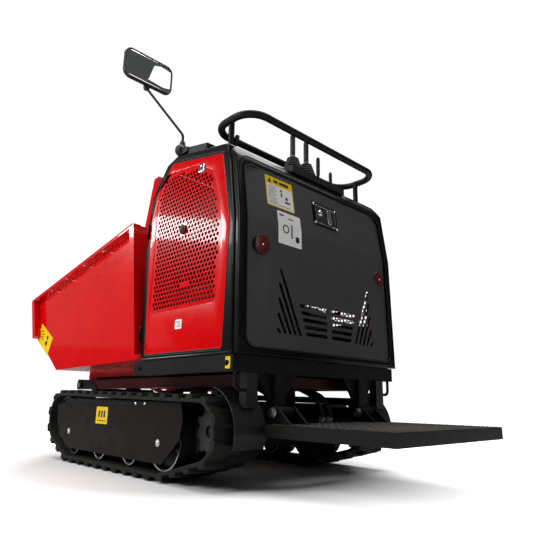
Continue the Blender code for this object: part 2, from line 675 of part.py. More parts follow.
def grab_rail():
    """Closed loop of tube on two posts."""
    corners = [(-RAIL_HALF, RAIL_REAR, RAIL_Z), (RAIL_HALF, RAIL_REAR, RAIL_Z),
               (RAIL_HALF, RAIL_FRONT, RAIL_Z), (-RAIL_HALF, RAIL_FRONT, RAIL_Z)]
    rail = tube("grab_rail", rounded_path(corners, 0.078, 5, closed=True), RAIL_TUBE, "black", closed=True)
    for tag, side in SIDES:
        foot = (side * RAIL_POST, -0.165, console_height(-0.165) + 0.0035)
        join(rail, rod("rail_post_" + tag, foot, (side * RAIL_POST, -0.165, RAIL_Z), 0.0105, "black"))


def mirror():
    """Mirror head on a bent stalk in a clamp at the body's front left corner."""
    x, y = MIRROR_POST
    clamp = turned("mirror_clamp", bushed(0.0058, 0.016, 0.022, 0.003), (x, y, 1.1445), "plastic", steps=16)
    join(clamp, box("clamp_foot", (x - 0.014, y - 0.055, 1.1215), (x + 0.060, y - 0.008, 1.1400), "plastic"))
    pivot = new_pivot("mirror_axis", (x, y, 1.120))
    ball = Vector(MIRROR_BALL)
    path = rounded_path([(x, y, 1.1235), (x, y, 1.212), tuple(ball)], 0.030, 4)
    tube("mirror_stalk", path, 0.0050, "black", pivot)
    head_pivot = new_pivot("mirror_head_axis", ball)
    low, high = ball.z + 0.006, ball.z + 0.134
    shape = [(ball.x + u, v) for u, v in rounded(box_outline(0.105, low, high), 0.028, 4)]
    head = plate("mirror_head", (shape,), "y", ball.y, 0.024, "plastic", head_pivot)
    bevel = head.modifiers.new("edge", "BEVEL")
    bevel.width = 0.006
    bevel.segments = 1


# ---------------------------------------------------------------- skip
def strip(path, thickness):
    """A closed outline for sheet that follows a path, on the path's left-hand side."""
    points = [Vector(point) for point in path]
    runs = [(b - a).normalized() for a, b in zip(points, points[1:])]
    back = []
    for point, before, after in zip(points, runs[:1] + runs, runs + runs[-1:]):
        normal = Vector((-before.y - after.y, before.x + after.x)).normalized()
        back.append(point + normal * (thickness / normal.dot(Vector((-before.y, before.x)))))
    return [tuple(point) for point in points + back[::-1]]


def skip():
    """Tipping tub with its rim, headboard, under-rails and hinge ears, all welded."""
    pivot = new_pivot("skip_axis", (0.0, *SKIP_AXIS))
    profile = ((0.346, 0.914), (0.252, 0.385), (1.018, 0.371), (1.272, 0.529), (1.370, 0.7365))
    wrap = strip(profile, SKIP_WALL)
    tub = plate("skip_tub", (wrap,), "x", 0.0, 2 * SKIP_HALF - 0.002, "red", pivot)
    pieces = []
    sheet = ((0.3312, 0.826), (0.376, 1.168), (0.380, 1.168), (0.3360, 0.826))
    board = ((-0.368, 0.830), (0.368, 0.830), (0.306, 1.167), (-0.306, 1.167))
    pieces.append(crossed("headboard", sheet, board, 0.36, "red", pivot))
    for tag, side in SIDES:
        wall_x = (SKIP_HALF - SKIP_WALL, SKIP_HALF)
        pieces.append(side_plate("skip_side_" + tag, side, (profile,), wall_x, "red", pivot))
        rim = ((0.252, 0.400), (0.344, 0.917), (1.375, 0.738), (1.290, 0.535),
               (1.264, 0.546), (1.342, 0.7335), (0.3745, 0.9010), (0.285, 0.3995))
        rim_x = (SKIP_HALF - 0.002, SKIP_RIM)
        pieces.append(side_plate("skip_rim_" + tag, side, (rim,), rim_x, "red", pivot))
        rail = ((0.290, 0.342), (0.290, 0.3862), (1.000, 0.3733), (1.000, 0.342))
        pieces.append(side_plate("skip_rail_" + tag, side, (rail,), (0.188, 0.2340), "red", pivot))
        ear = [(1.008, 0.350), (0.905, 0.350)] + arc(SKIP_AXIS, 0.0185, 215.0, 340.0, 8)
        pieces.append(side_plate("skip_ear_" + tag, side, (ear,), (0.190, 0.2330), "red", pivot))
        flange = ((0.3325, 0.828), (0.377, 1.166), (0.407, 1.162), (0.3650, 0.828))
        corners = ((0.364, 0.828), (0.368, 0.828), (0.306, 1.166), (0.302, 1.166))
        edge = [(side * x, z) for x, z in corners]
        pieces.append(crossed("headboard_edge_" + tag, flange, edge, 0.36, "red", pivot))
        lug_low = TIP_EYE[1] - 0.018
        lug = rounded(((0.800, 0.3795), (0.815, lug_low), (0.865, lug_low), (0.885, 0.3775)), 0.012, 2)
        pieces.append(side_plate("cylinder_ear_" + tag, side, (lug,), (0.024, 0.032), "red", pivot))
    join(tub, *pieces)
    cut(tub, cross_rod("ear_pivot_bores", (-0.3, 0.3), *SKIP_AXIS, 0.0105, "steel", pivot))
    shaft = ((0.0, 0.296), (0.0095, 0.296), (0.0100, 0.294),
             (0.0100, -0.294), (0.0095, -0.296), (0.0, -0.296))
    turned("skip_pivot_shaft", shaft, (0.0, *SKIP_AXIS), "steel", along="right", steps=16)


def tip_cylinder():
    """Hydraulic cylinder under the skip: barrel on its chassis pin, rod towards the skip."""
    start, end = Vector((0.0, *TIP_BARREL)), Vector((0.0, *TIP_EYE))
    run = (end - start).normalized()
    swing = new_pivot("barrel_axis", start)
    barrel = rod("tip_cylinder_barrel", start + run * 0.036, start + run * 0.262, 0.026, "black", swing)
    join(barrel, cross_rod("barrel_eye", (-0.018, 0.018), *TIP_BARREL, 0.020, "black", swing),
         rod("barrel_neck", start + run * 0.012, start + run * 0.044, 0.016, "black", swing))
    cut(barrel, rod("barrel_bore", start + run * 0.060, start + run * 0.300, 0.0155, "steel", swing),
        cross_rod("barrel_pin_bore", (-0.05, 0.05), *TIP_BARREL, 0.0085, "steel", swing, sides=12))
    slide = new_pivot("rod_axis", start + run * 0.262)
    piston = rod("tip_cylinder_rod", start + run * 0.070, end - run * 0.004, 0.015, "steel", slide)
    join(piston, cross_rod("rod_eye", (-0.018, 0.018), *TIP_EYE, 0.0150, "steel", slide))
    cut(piston, cross_rod("rod_eye_bore", (-0.05, 0.05), *TIP_EYE, 0.0080, "steel", slide, sides=12))


# ---------------------------------------------------------------- engine bay
def engine_bay():
    """Engine, silencer, tanks, battery and pump on the floor of the base frame."""
    floor = 0.362 + GAP
    engine = box("engine", (-0.150, -0.130, floor), (0.130, 0.110, 0.560), "cast")
    join(engine, box("cylinder_head", (-0.070, -0.080, 0.540), (0.110, 0.130, 0.700), "cast"),
         cross_rod("fan_cowl", (0.120, 0.235), 0.0, 0.500, 0.125, "black", sides=20),
         box("air_cleaner", (-0.020, -0.150, 0.690), (0.120, -0.010, 0.790), "plastic"))
    silencer = box("silencer", (-0.130, -0.030, 0.600), (-0.080, 0.150, 0.740), "steel")
    silencer.location.x -= 0.035
    box("fuel_tank", (-0.300, -0.160, 0.840), (0.300, 0.120, 0.985), "black")
    box("hydraulic_tank", (-0.350, -0.200, floor), (-0.200, 0.190, 0.620), "black")
    box("battery", (0.250, -0.200, floor), (0.350, -0.020, 0.540), "plastic")
    pump = ((0.0, -0.152), (0.040, -0.152), (0.040, -0.170),
            (0.032, -0.170), (0.032, -0.192), (0.0, -0.192))
    turned("hydraulic_pump", pump, (0.0, 0.0, 0.450), "cast", along="right", steps=14)


undercarriage()
chassis_frame()
base_frame()
platform()
for side_tag, side_sign in SIDES:
    side_frame(side_tag, side_sign)
    side_door(side_tag, side_sign)
rear_frame()
rear_panel()
front_panel()
top_console()
levers()
grab_rail()
mirror()
skip()
tip_cylinder()
engine_bay()
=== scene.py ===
"""Tracked power wheelbarrow: finishes, detailed pieces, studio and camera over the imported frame.

Metres, +Z up, +Y forward towards the skip, +X to the operator's right. Places are
given from the machine datum, on the ground under the rear end of the tracks.
"""
import json
import math

import bmesh
import bpy
from mathutils import Matrix, Vector

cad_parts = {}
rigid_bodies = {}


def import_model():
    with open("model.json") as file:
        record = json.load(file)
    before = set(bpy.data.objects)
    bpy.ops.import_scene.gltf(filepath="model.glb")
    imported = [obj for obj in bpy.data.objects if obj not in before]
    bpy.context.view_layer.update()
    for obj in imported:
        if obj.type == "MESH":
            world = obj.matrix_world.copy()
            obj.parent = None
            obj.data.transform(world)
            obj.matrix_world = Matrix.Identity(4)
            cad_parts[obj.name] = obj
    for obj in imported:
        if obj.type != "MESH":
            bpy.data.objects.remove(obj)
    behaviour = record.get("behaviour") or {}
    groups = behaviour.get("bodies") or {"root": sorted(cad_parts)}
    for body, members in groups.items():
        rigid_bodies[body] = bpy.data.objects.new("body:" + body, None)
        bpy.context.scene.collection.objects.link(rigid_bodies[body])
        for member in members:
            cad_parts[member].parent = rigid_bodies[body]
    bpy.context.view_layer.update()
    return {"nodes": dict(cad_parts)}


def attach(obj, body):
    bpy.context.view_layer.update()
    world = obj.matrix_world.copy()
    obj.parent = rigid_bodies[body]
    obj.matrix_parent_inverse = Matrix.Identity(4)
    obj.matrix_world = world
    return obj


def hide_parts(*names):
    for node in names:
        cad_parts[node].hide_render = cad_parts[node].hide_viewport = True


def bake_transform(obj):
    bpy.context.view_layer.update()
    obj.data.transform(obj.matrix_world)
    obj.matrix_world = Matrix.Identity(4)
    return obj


for leftover in list(bpy.data.objects):
    bpy.data.objects.remove(leftover)
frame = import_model()
NODES = frame["nodes"]


def mm(*flat):
    """Pairs of metres of a row of millimetres."""
    return [(u / 1000, v / 1000) for u, v in zip(flat[::2], flat[1::2])]


DATUM = Vector((0.0845, -0.3275, 0.0))
SIDES = (("left", -1), ("right", 1))

# ---- tracks ----
BELT_INNER, BELT_OUTER = 0.25, 0.43
TRACK_CENTRE = (BELT_INNER + BELT_OUTER) / 2
SPROCKET = (-0.14, 0.157, 0.08)
REAR_WHEEL = (0.06, 0.115, 0.089)
IDLER = (0.833, 0.166, 0.089)
ROLLER_Y, ROLLER_Z, ROLLER_RADIUS = (0.275, 0.5, 0.722), 0.076, 0.05
CARCASS_INNER, CARCASS_OUTER = 0.0016, 0.013
LUG_HEIGHT = 0.0258 - CARCASS_OUTER
TRACK_PITCH = 0.072
COVER_FACE = 0.416

# ---- body ----
BODY_HALF, SIDE_INNER = 0.402, 0.374
DOOR_OUTLINE = mm(216, 398, 244, 868, 212, 1002, 114, 1098, -187, 1032, -231, 787, -216, 395)
MESH_ZONE = mm(190, 550, -167, 550, -184, 767, -165, 877, -125, 981, -33, 1030, 119, 1049, 158, 1050,
               190, 972)
SIDE_OUTLINE = mm(238, 374.8, 262, 792, 240, 990, 148, 1103, 83, 1120, -200, 1064, -221, 1054.5, -221, 1030,
                  -232.6, 997, -258.5, 797, -266.5, 374.8)
HOLE_PITCH, HOLE_RADIUS = 0.0178, 0.0068
LOCK, BUFFER = (-0.073, 1.017), (0.02, 0.816)
FRAME_BACK = mm(374.5, -293, 800, -284, 1005, -256, 1055.5, -222)
PANEL_BACK = ((0.38, -0.2979), (0.8, -0.2885), (0.996, -0.26))
PANEL_HALF, PANEL_LOW, PANEL_HIGH = 0.372, 0.398, 0.986
PANEL_FOLD, PANEL_CHAMFER = 0.288, 0.16
REFLECTOR_X, REFLECTOR_Z = 0.314, 0.714

# ---- controls ----
CONSOLE_SLOPE = (1.1185 - 1.059) / 0.27
RAIL_Z, RAIL_HALF, RAIL_REAR, RAIL_FRONT = 1.178, 0.362, -0.27, -0.07
RAIL_TUBE, RAIL_POST = 0.0135, 0.352
LEVER_X = {"left": -0.083, "right": -0.008, "tip": 0.062, "throttle": 0.138}
LEVER_Y, LEVER_PIVOT_Z, PLINTH_TOP = -0.2, 1.045, 1.068
MIRROR_POST, MIRROR_BALL = (-0.386, 0.083), (-0.494, 0.196, 1.418)


# ---- finishes ----
def link(tree, source, target):
    """Join two sockets of a node tree."""
    tree.links.new(source, target)


def noise(tree, coordinates, scale, detail=3.0, stretch=(1.0, 1.0, 1.0)):
    """A noise texture's output in object coordinates."""
    mapping = tree.nodes.new("ShaderNodeMapping")
    mapping.inputs["Scale"].default_value = stretch
    texture = tree.nodes.new("ShaderNodeTexNoise")
    texture.inputs["Scale"].default_value = scale
    texture.inputs["Detail"].default_value = detail
    link(tree, coordinates, mapping.inputs["Vector"])
    link(tree, mapping.outputs["Vector"], texture.inputs["Vector"])
    return texture.outputs["Fac"]


def spread(tree, source, low, high, start=0.3, end=0.7):
    """Stretch a noise value between two numbers."""
    ranged = tree.nodes.new("ShaderNodeMapRange")
    ranged.inputs["From Min"].default_value = start
    ranged.inputs["From Max"].default_value = end
    ranged.inputs["To Min"].default_value = low
    ranged.inputs["To Max"].default_value = high
    link(tree, source, ranged.inputs["Value"])
    return ranged.outputs["Result"]


def finish(name, colour, rough, metallic=0.0, coat=0.0, second=None, patch=6.0, grain=900.0, depth=0.0002,
           stretch=(1.0, 1.0, 1.0), strength=0.3, dust=0.0, specular=0.5):
    """A material with uneven colour, uneven gloss and a fine grain."""
    made = bpy.data.materials.new(name)
    made.use_nodes = True
    tree = made.node_tree
    shader = tree.nodes["Principled BSDF"]
    shader.inputs["Metallic"].default_value = metallic
    shader.inputs["Coat Weight"].default_value = coat
    shader.inputs["Coat Roughness"].default_value = 0.06
    shader.inputs["Specular IOR Level"].default_value = specular
    coordinates = tree.nodes.new("ShaderNodeTexCoord").outputs["Object"]
    low, high = rough
    other = second or tuple(0.72 * c for c in colour)
    mix = tree.nodes.new("ShaderNodeMix")
    mix.data_type = "RGBA"
    mix.inputs[6].default_value = (*colour, 1.0)
    mix.inputs[7].default_value = (*other, 1.0)
    link(tree, spread(tree, noise(tree, coordinates, patch, 5.0, stretch), 0.0, 1.0), mix.inputs[0])
    shade = mix.outputs[2]
    if dust:
        geometry = tree.nodes.new("ShaderNodeNewGeometry")
        split = tree.nodes.new("ShaderNodeSeparateXYZ")
        link(tree, geometry.outputs["Normal"], split.inputs[0])
        upward = spread(tree, split.outputs["Z"], 0.0, dust, 0.2, 1.0)
        speckle = tree.nodes.new("ShaderNodeMath")
        speckle.operation = "MULTIPLY"
        link(tree, upward, speckle.inputs[0])
        link(tree, spread(tree, noise(tree, coordinates, 40.0, 6.0), 0.0, 1.0), speckle.inputs[1])
        dusty = tree.nodes.new("ShaderNodeMix")
        dusty.data_type = "RGBA"
        dusty.inputs[7].default_value = (0.2, 0.18, 0.15, 1.0)
        link(tree, speckle.outputs[0], dusty.inputs[0])
        link(tree, shade, dusty.inputs[6])
        shade = dusty.outputs[2]
    link(tree, shade, shader.inputs["Base Color"])
    unevenness = noise(tree, coordinates, 23.0, 6.0, stretch)
    link(tree, spread(tree, unevenness, low, high), shader.inputs["Roughness"])
    bump = tree.nodes.new("ShaderNodeBump")
    bump.inputs["Strength"].default_value = strength
    bump.inputs["Distance"].default_value = depth
    link(tree, noise(tree, coordinates, grain, 2.0, stretch), bump.inputs["Height"])
    link(tree, bump.outputs["Normal"], shader.inputs["Normal"])
    return made


def prismatic(name, colour, scale):
    """Moulded lens whose back is cut into small prisms."""
    made = finish(name, colour, (0.1, 0.18), coat=0.4, specular=0.25)
    tree = made.node_tree
    cells = tree.nodes.new("ShaderNodeTexVoronoi")
    cells.inputs["Scale"].default_value = scale
    bump = tree.nodes.new("ShaderNodeBump")
    bump.inputs["Strength"].default_value = 0.6
    bump.inputs["Distance"].default_value = 0.0008
    coordinates = tree.nodes.new("ShaderNodeTexCoord")
    link(tree, coordinates.outputs["Object"], cells.inputs["Vector"])
    link(tree, cells.outputs["Distance"], bump.inputs["Height"])
    link(tree, bump.outputs["Normal"], tree.nodes["Principled BSDF"].inputs["Normal"])
    return made


RED = finish("red_gloss_paint", (0.6, 0.0006, 0.002), (0.2, 0.3), coat=0.4, second=(0.54, 0.0005, 0.0016),
             grain=420.0, depth=0.00012, strength=0.12, specular=0.05)
# The chassis's red paint is darkened to a tenth of the tub's red: painted shade of its place under the body
# and skip.
PAINTED_SHADE_RED = finish("chassis_red_paint", (0.06, 0.0015, 0.0025), (0.35, 0.5), coat=0.15, grain=500.0,
                  dust=0.06, specular=0.2)
BLACK = finish("black_powder_coat", (0.005, 0.005, 0.0048), (0.38, 0.5), second=(0.0068, 0.0065, 0.0062),
               grain=1400.0, depth=0.00015, dust=0.03, specular=0.15)
DECK = finish("worn_tread_plate", (0.066, 0.063, 0.058), (0.45, 0.6), second=(0.04, 0.038, 0.035),
              patch=9.0, dust=0.1, specular=0.25)
GLOSS = finish("black_gloss_paint", (0.0045, 0.0045, 0.0048), (0.28, 0.38), coat=0.1, grain=500.0,
               depth=0.0001, strength=0.12, specular=0.07)
PANEL = finish("panel_coat", (0.038, 0.038, 0.0372), (0.48, 0.58), second=(0.043, 0.0425, 0.042),
               grain=1700.0, depth=0.00015, strength=0.35, specular=0.3)
COVER = finish("cover_paint", (0.007, 0.005, 0.0038), (0.42, 0.54), second=(0.0055, 0.0042, 0.0034),
               grain=1300.0, dust=0.02, specular=0.08)
RUBBER = finish("moulded_rubber", (0.0065, 0.0065, 0.006), (0.58, 0.78), second=(0.011, 0.0105, 0.0095),
                patch=14.0, grain=700.0, depth=0.0003, strength=0.5, dust=0.05, specular=0.18)
BOOT = finish("boot_rubber", (0.006, 0.006, 0.006), (0.42, 0.55), grain=1500.0, depth=0.0001, specular=0.35)
PLASTIC = finish("black_plastic", (0.0085, 0.0085, 0.0085), (0.4, 0.52), second=(0.011, 0.011, 0.011),
                 grain=1900.0, depth=0.00012, strength=0.35, specular=0.35)
STEEL = finish("zinc_plate", (0.66, 0.65, 0.61), (0.2, 0.36), metallic=1.0, second=(0.52, 0.5, 0.44),
               patch=45.0, depth=0.00008)
CHROME = finish("bright_chrome", (0.86, 0.87, 0.88), (0.07, 0.14), metallic=1.0, second=(0.8, 0.81, 0.82),
                grain=300.0, depth=0.00003, strength=0.08)
POLISHED = finish("worn_steel", (0.55, 0.54, 0.52), (0.22, 0.4), metallic=1.0, second=(0.3, 0.29, 0.27),
                  patch=30.0, grain=1200.0, depth=0.0001)
CAST = finish("dark_casting", (0.03, 0.03, 0.031), (0.42, 0.6), metallic=0.3, second=(0.018, 0.0175, 0.017),
              patch=20.0, grain=350.0, depth=0.0004, strength=0.5, dust=0.06, specular=0.35)
LENS = prismatic("reflector_red", (0.105, 0.0045, 0.0055), 420.0)
GLASS = finish("mirror_silver", (0.86, 0.88, 0.89), (0.012, 0.025), metallic=1.0, second=(0.84, 0.86, 0.87),
               grain=4.0, depth=0.00001, strength=0.02)
WHITE = finish("white_vinyl", (0.78, 0.78, 0.77), (0.28, 0.4), second=(0.72, 0.72, 0.7), depth=0.00005)
YELLOW = finish("yellow_vinyl", (0.8, 0.53, 0.008), (0.28, 0.38), second=(0.74, 0.48, 0.007), depth=0.00005,
                specular=0.1)
INK_AND_PAINTED_SHADE = finish("black_ink_and_painted_shade", (0.012, 0.012, 0.012), (0.35, 0.45), depth=0.00003)
GREY_INK = finish("grey_ink", (0.24, 0.24, 0.24), (0.35, 0.45), depth=0.00003)
RED_TRIM = finish("red_plastic", (0.5, 0.006, 0.008), (0.28, 0.38), depth=0.00005)

NODE_FINISH = {
    "track_cover": (COVER, 0.0008), "track_frame": (BLACK, 0.001), "travel_motor": (CAST, 0.001),
    "mudguard": (PLASTIC, 0.0006), "drive_sprocket": (CAST, 0.002), "chassis_frame": (PAINTED_SHADE_RED, 0.0015),
    "base_frame": (BLACK, 0.002), "platform_deck": (BLACK, 0.0012), "front_panel": (BLACK, 0.0006),
    "top_console": (PLASTIC, 0.0012), "skip_tub": (RED, 0.0008), "skip_pivot_shaft": (STEEL, 0.0008),
    "tip_cylinder_barrel": (BLACK, 0.001), "tip_cylinder_rod": (CHROME, 0.001), "engine": (CAST, 0.003),
    "silencer": (POLISHED, 0.008), "fuel_tank": (PLASTIC, 0.012), "hydraulic_tank": (BLACK, 0.004),
    "battery": (PLASTIC, 0.004), "hydraulic_pump": (CAST, 0.002), "mirror_clamp": (PLASTIC, 0.001),
}
SLOTS = {}
for slot_name, looks in (
        ("black_paint", (BLACK, DECK)), ("black_gloss", (GLOSS,)), ("black_plastic", (PLASTIC,)),
        ("rubber", (RUBBER, BOOT)), ("plated_steel", (STEEL, CHROME, POLISHED)), ("cast_metal", (CAST,)),
        ("red_paint", (RED,)), ("panel_coat", (PANEL,)), ("red_lens", (LENS,))):
    for look in looks:
        SLOTS[look.name] = slot_name


# ---- mesh helpers ----
def soften_edges(obj, width):
    """A small rounding of an object's sharp edges."""
    edge = obj.modifiers.new("edge", "BEVEL")
    edge.width = width
    edge.segments = 2
    edge.limit_method = "ANGLE"
    edge.angle_limit = math.radians(40)


def add(name, mesh, look, body="root", stands_for=(), slot="own", angle=32, soften=0.0):
    """Make a piece of a mesh given from the datum, and let it ride on a body.

    The slot argument is not used: a slot of "own" is looked up from the look, and nothing reads it.
    """
    if slot == "own":
        slot = SLOTS.get(look.name)
    mesh.name = name
    mesh.materials.append(look)
    mesh.shade_smooth()
    mesh.set_sharp_from_angle(angle=math.radians(angle))
    obj = bpy.data.objects.new(name, mesh)
    obj.location = DATUM
    bpy.context.scene.collection.objects.link(obj)
    if soften:
        soften_edges(obj, soften)
    if body:
        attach(obj, body)
    if stands_for:
        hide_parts(*stands_for)
    return obj


def to_mesh(bm):
    """A mesh of a finished working mesh."""
    mesh = bpy.data.meshes.new("piece")
    bm.to_mesh(mesh)
    bm.free()
    return mesh


def merged(*meshes):
    """One mesh of several."""
    bm = bmesh.new()
    for mesh in meshes:
        bm.from_mesh(mesh)
        bpy.data.meshes.remove(mesh)
    return to_mesh(bm)


def curve_mesh(curve, place=Matrix.Identity(4)):
    """The closed mesh of a curve."""
    obj = bpy.data.objects.new("curve", curve)
    bpy.context.scene.collection.objects.link(obj)
    bpy.context.view_layer.update()
    graph = bpy.context.evaluated_depsgraph_get()
    mesh = bpy.data.meshes.new_from_object(obj.evaluated_get(graph))
    bpy.data.objects.remove(obj)
    bm = bmesh.new()
    bm.from_mesh(mesh)
    bmesh.ops.remove_doubles(bm, verts=bm.verts, dist=0.00001)
    bmesh.ops.recalc_face_normals(bm, faces=bm.faces)
    bmesh.ops.transform(bm, matrix=place, verts=bm.verts)
    return to_mesh(bm)


FACING = {"x": Matrix(((0, 0, 1, 0), (1, 0, 0, 0), (0, 1, 0, 0), (0, 0, 0, 1))),
          "y": Matrix(((1, 0, 0, 0), (0, 0, -1, 0), (0, 1, 0, 0), (0, 0, 0, 1))),
          "z": Matrix.Identity(4)}
ACROSS = {"x": Vector((1, 0, 0)), "y": Vector((0, 1, 0)), "z": Vector((0, 0, 1))}


def sheet(outlines, across, low, high, bevel=0.0, segments=2):
    """A flat plate between two places on an axis; outlines are (Y, Z), (X, Z) or (X, Y)."""
    low, high = sorted((low, high))
    curve = bpy.data.curves.new("sheet", "CURVE")
    curve.dimensions = "2D"
    curve.fill_mode = "BOTH"
    curve.extrude = (high - low) / 2 - bevel
    curve.bevel_depth = bevel
    curve.bevel_resolution = segments
    curve.offset = -bevel
    for outline in outlines:
        spline = curve.splines.new("POLY")
        spline.points.add(len(outline) - 1)
        for point, (u, v) in zip(spline.points, outline):
            point.co = (u, v, 0.0, 1.0)
        spline.use_cyclic_u = True
    middle = Matrix.Translation(ACROSS[across] * ((low + high) / 2))
    return curve_mesh(curve, middle @ FACING[across])


def tube(points, radius, closed=False, sides=5):
    """A round tube through points."""
    curve = bpy.data.curves.new("tube", "CURVE")
    curve.dimensions = "3D"
    curve.bevel_depth = radius
    curve.bevel_resolution = sides
    curve.use_fill_caps = not closed
    spline = curve.splines.new("POLY")
    spline.points.add(len(points) - 1)
    for point, co in zip(spline.points, points):
        point.co = (*co, 1.0)
    spline.use_cyclic_u = closed
    return curve_mesh(curve)


def lathe(profile, centre, axis=(0, 0, 1), steps=48, closed=False):
    """Turn a profile of (radius, height) round an axis."""
    bm = bmesh.new()
    rings = []
    for radius, height in profile:
        if radius < 1e-6:
            rings.append([bm.verts.new((0.0, 0.0, height))])
        else:
            turns = [math.tau * i / steps for i in range(steps)]
            rings.append([bm.verts.new((radius * math.cos(a), radius * math.sin(a), height)) for a in turns])
    pairs = list(zip(rings, rings[1:])) + ([(rings[-1], rings[0])] if closed else [])
    for first, second in pairs:
        for i in range(steps):
            j = (i + 1) % steps
            corners = [first[i % len(first)], first[j % len(first)]]
            corners += [second[j % len(second)], second[i % len(second)]]
            unique = list(dict.fromkeys(corners))
            if len(unique) > 2:
                bm.faces.new(unique)
    bmesh.ops.recalc_face_normals(bm, faces=bm.faces)
    turn = Vector(axis).to_track_quat("Z", "Y").to_matrix().to_4x4()
    bmesh.ops.transform(bm, matrix=Matrix.Translation(centre) @ turn, verts=bm.verts)
    return to_mesh(bm)


def block(low, high, turn=Matrix.Identity(4)):
    """A box between two corners, turned about its own middle."""
    low, high = Vector(low), Vector(high)
    bm = bmesh.new()
    place = Matrix.Translation((low + high) / 2) @ turn @ Matrix.Diagonal((*(high - low), 1.0))
    bmesh.ops.create_cube(bm, size=1.0, matrix=place)
    return to_mesh(bm)


def arc(centre, radius, start, end, steps):
    """Points of an arc, its ends in degrees."""
    turns = [math.radians(start + (end - start) * i / steps) for i in range(steps + 1)]
    return [(centre[0] + radius * math.cos(a), centre[1] + radius * math.sin(a)) for a in turns]


def circle(centre, radius, steps=24):
    """Points of a closed circle."""
    return arc(centre, radius, 0.0, 360.0, steps)[:-1]


def fillet(before, corner, after, radius, steps):
    """Points of an arc that rounds one corner of a path."""
    u, v = (before - corner).normalized(), (after - corner).normalized()
    half = u.angle(v) / 2
    if half > math.radians(88):
        return [corner]
    reach = min(radius / math.tan(half), 0.45 * (before - corner).length, 0.45 * (after - corner).length)
    start, end = corner + u * reach, corner + v * reach
    centre = corner + (u + v).normalized() * (reach / math.cos(half))
    spoke_a, spoke_b = (start - centre).normalized(), (end - centre).normalized()
    length = (start - centre).length
    return [centre + spoke_a.slerp(spoke_b, i / steps) * length for i in range(steps + 1)]


def rounded_path(points, radius, steps=8, closed=False):
    """A path of points with its corners rounded."""
    path = [Vector(point) for point in points]
    out = []
    for i, corner in enumerate(path):
        if not closed and i in (0, len(path) - 1):
            out.append(corner)
        else:
            out.extend(fillet(path[i - 1], corner, path[(i + 1) % len(path)], radius, steps))
    return out


def rounded(points, radius, steps=6):
    """A closed flat outline with its corners rounded."""
    flat = [(*point, 0.0) for point in points]
    return [(p.x, p.y) for p in rounded_path(flat, radius, steps, closed=True)]


def rectangle(x0, x1, z0, z1, radius=0.0):
    """A rectangle's outline, with rounded corners if a radius is given."""
    corners = ((x0, z0), (x1, z0), (x1, z1), (x0, z1))
    return rounded(corners, radius) if radius else corners


def inset(outline, distance):
    """Move a closed outline towards its middle."""
    flat = [Vector(point) for point in outline]
    area = sum(a.x * b.y - b.x * a.y for a, b in zip(flat, flat[1:] + flat[:1]))
    sign = 1.0 if area > 0 else -1.0
    out = []
    for i, corner in enumerate(flat):
        before = (corner - flat[i - 1]).normalized()
        after = (flat[(i + 1) % len(flat)] - corner).normalized()
        normal_a, normal_b = Vector((-before.y, before.x)) * sign, Vector((-after.y, after.x)) * sign
        middle = (normal_a + normal_b).normalized()
        out.append(tuple(corner + middle * (distance / middle.dot(normal_a))))
    return out


def inside(point, outline):
    """Whether a point lies within a closed outline."""
    hit = False
    for (ax, ay), (bx, by) in zip(outline, list(outline[1:]) + [outline[0]]):
        if (ay > point[1]) != (by > point[1]) and point[0] < (bx - ax) * (point[1] - ay) / (by - ay) + ax:
            hit = not hit
    return hit


def interpolate(table, value):
    """Straight lines between the points of a table."""
    if value <= table[0][0]:
        (a, x), (b, y) = table[:2]
    else:
        for (a, x), (b, y) in zip(table, table[1:]):
            if value <= b:
                break
    return x + (y - x) * (value - a) / (b - a)


def wrapped(mesh, back, creases, chamfer=0.0):
    """Bend a flat rear sheet back along its creases, and lean its side margins inwards."""
    bm = bmesh.new()
    bm.from_mesh(mesh)
    bpy.data.meshes.remove(mesh)
    planes = [((0, 0, z), (0, 0, 1)) for z in creases]
    if chamfer:
        planes += [((x, 0, 0), (1, 0, 0)) for x in (-PANEL_FOLD, PANEL_FOLD)]
    for place, normal in planes:
        everything = bm.verts[:] + bm.edges[:] + bm.faces[:]
        bmesh.ops.bisect_plane(bm, geom=everything, plane_co=place, plane_no=normal)
    for vert in bm.verts:
        vert.co.y += interpolate(back, vert.co.z) + chamfer * max(0.0, abs(vert.co.x) - PANEL_FOLD)
    return to_mesh(bm)


def on_panel(outlines, out, thickness=0.0004, bevel=0.0):
    """A sheet that lies on the rear panel, its outer face a distance out of it."""
    flat = sheet(outlines, "y", -out, thickness - out, bevel)
    return wrapped(flat, PANEL_BACK, (0.8,), PANEL_CHAMFER)


def on_frame(outlines, out, thickness, bevel):
    """A sheet that lies on the rear frame."""
    flat = sheet(outlines, "y", -out, thickness - out, bevel, 3)
    return wrapped(flat, FRAME_BACK, (0.8, 1.005))


def hex_head(centre, axis, across, height, washer=True):
    """A hexagon head with a chamfered top, on its washer."""
    radius = across / math.sqrt(3)
    outline = ((0.0, height), (radius * 0.86, height), (radius, height * 0.78), (radius, 0.0), (0.0, 0.0))
    head = lathe(outline, centre, axis, 6)
    if not washer:
        return head
    ring = lathe(((0.0, 0.0012), (radius * 1.22, 0.0012), (radius * 1.25, 0.0008), (radius * 1.25, -0.0005),
                  (0.0, -0.0005)), centre, axis, 24)
    return merged(head, ring)


def dome_head(centre, axis, radius, height):
    """A round head with a driving recess."""
    profile = [(0.0, height * 0.45), (radius * 0.3, height * 0.45), (radius * 0.3, height)]
    profile += [(radius * math.cos(a), height * math.sin(a)) for a in (1.15, 0.9, 0.6, 0.3, 0.0)]
    return lathe(profile + [(radius, -0.0005), (0.0, -0.0005)], centre, axis, 20)


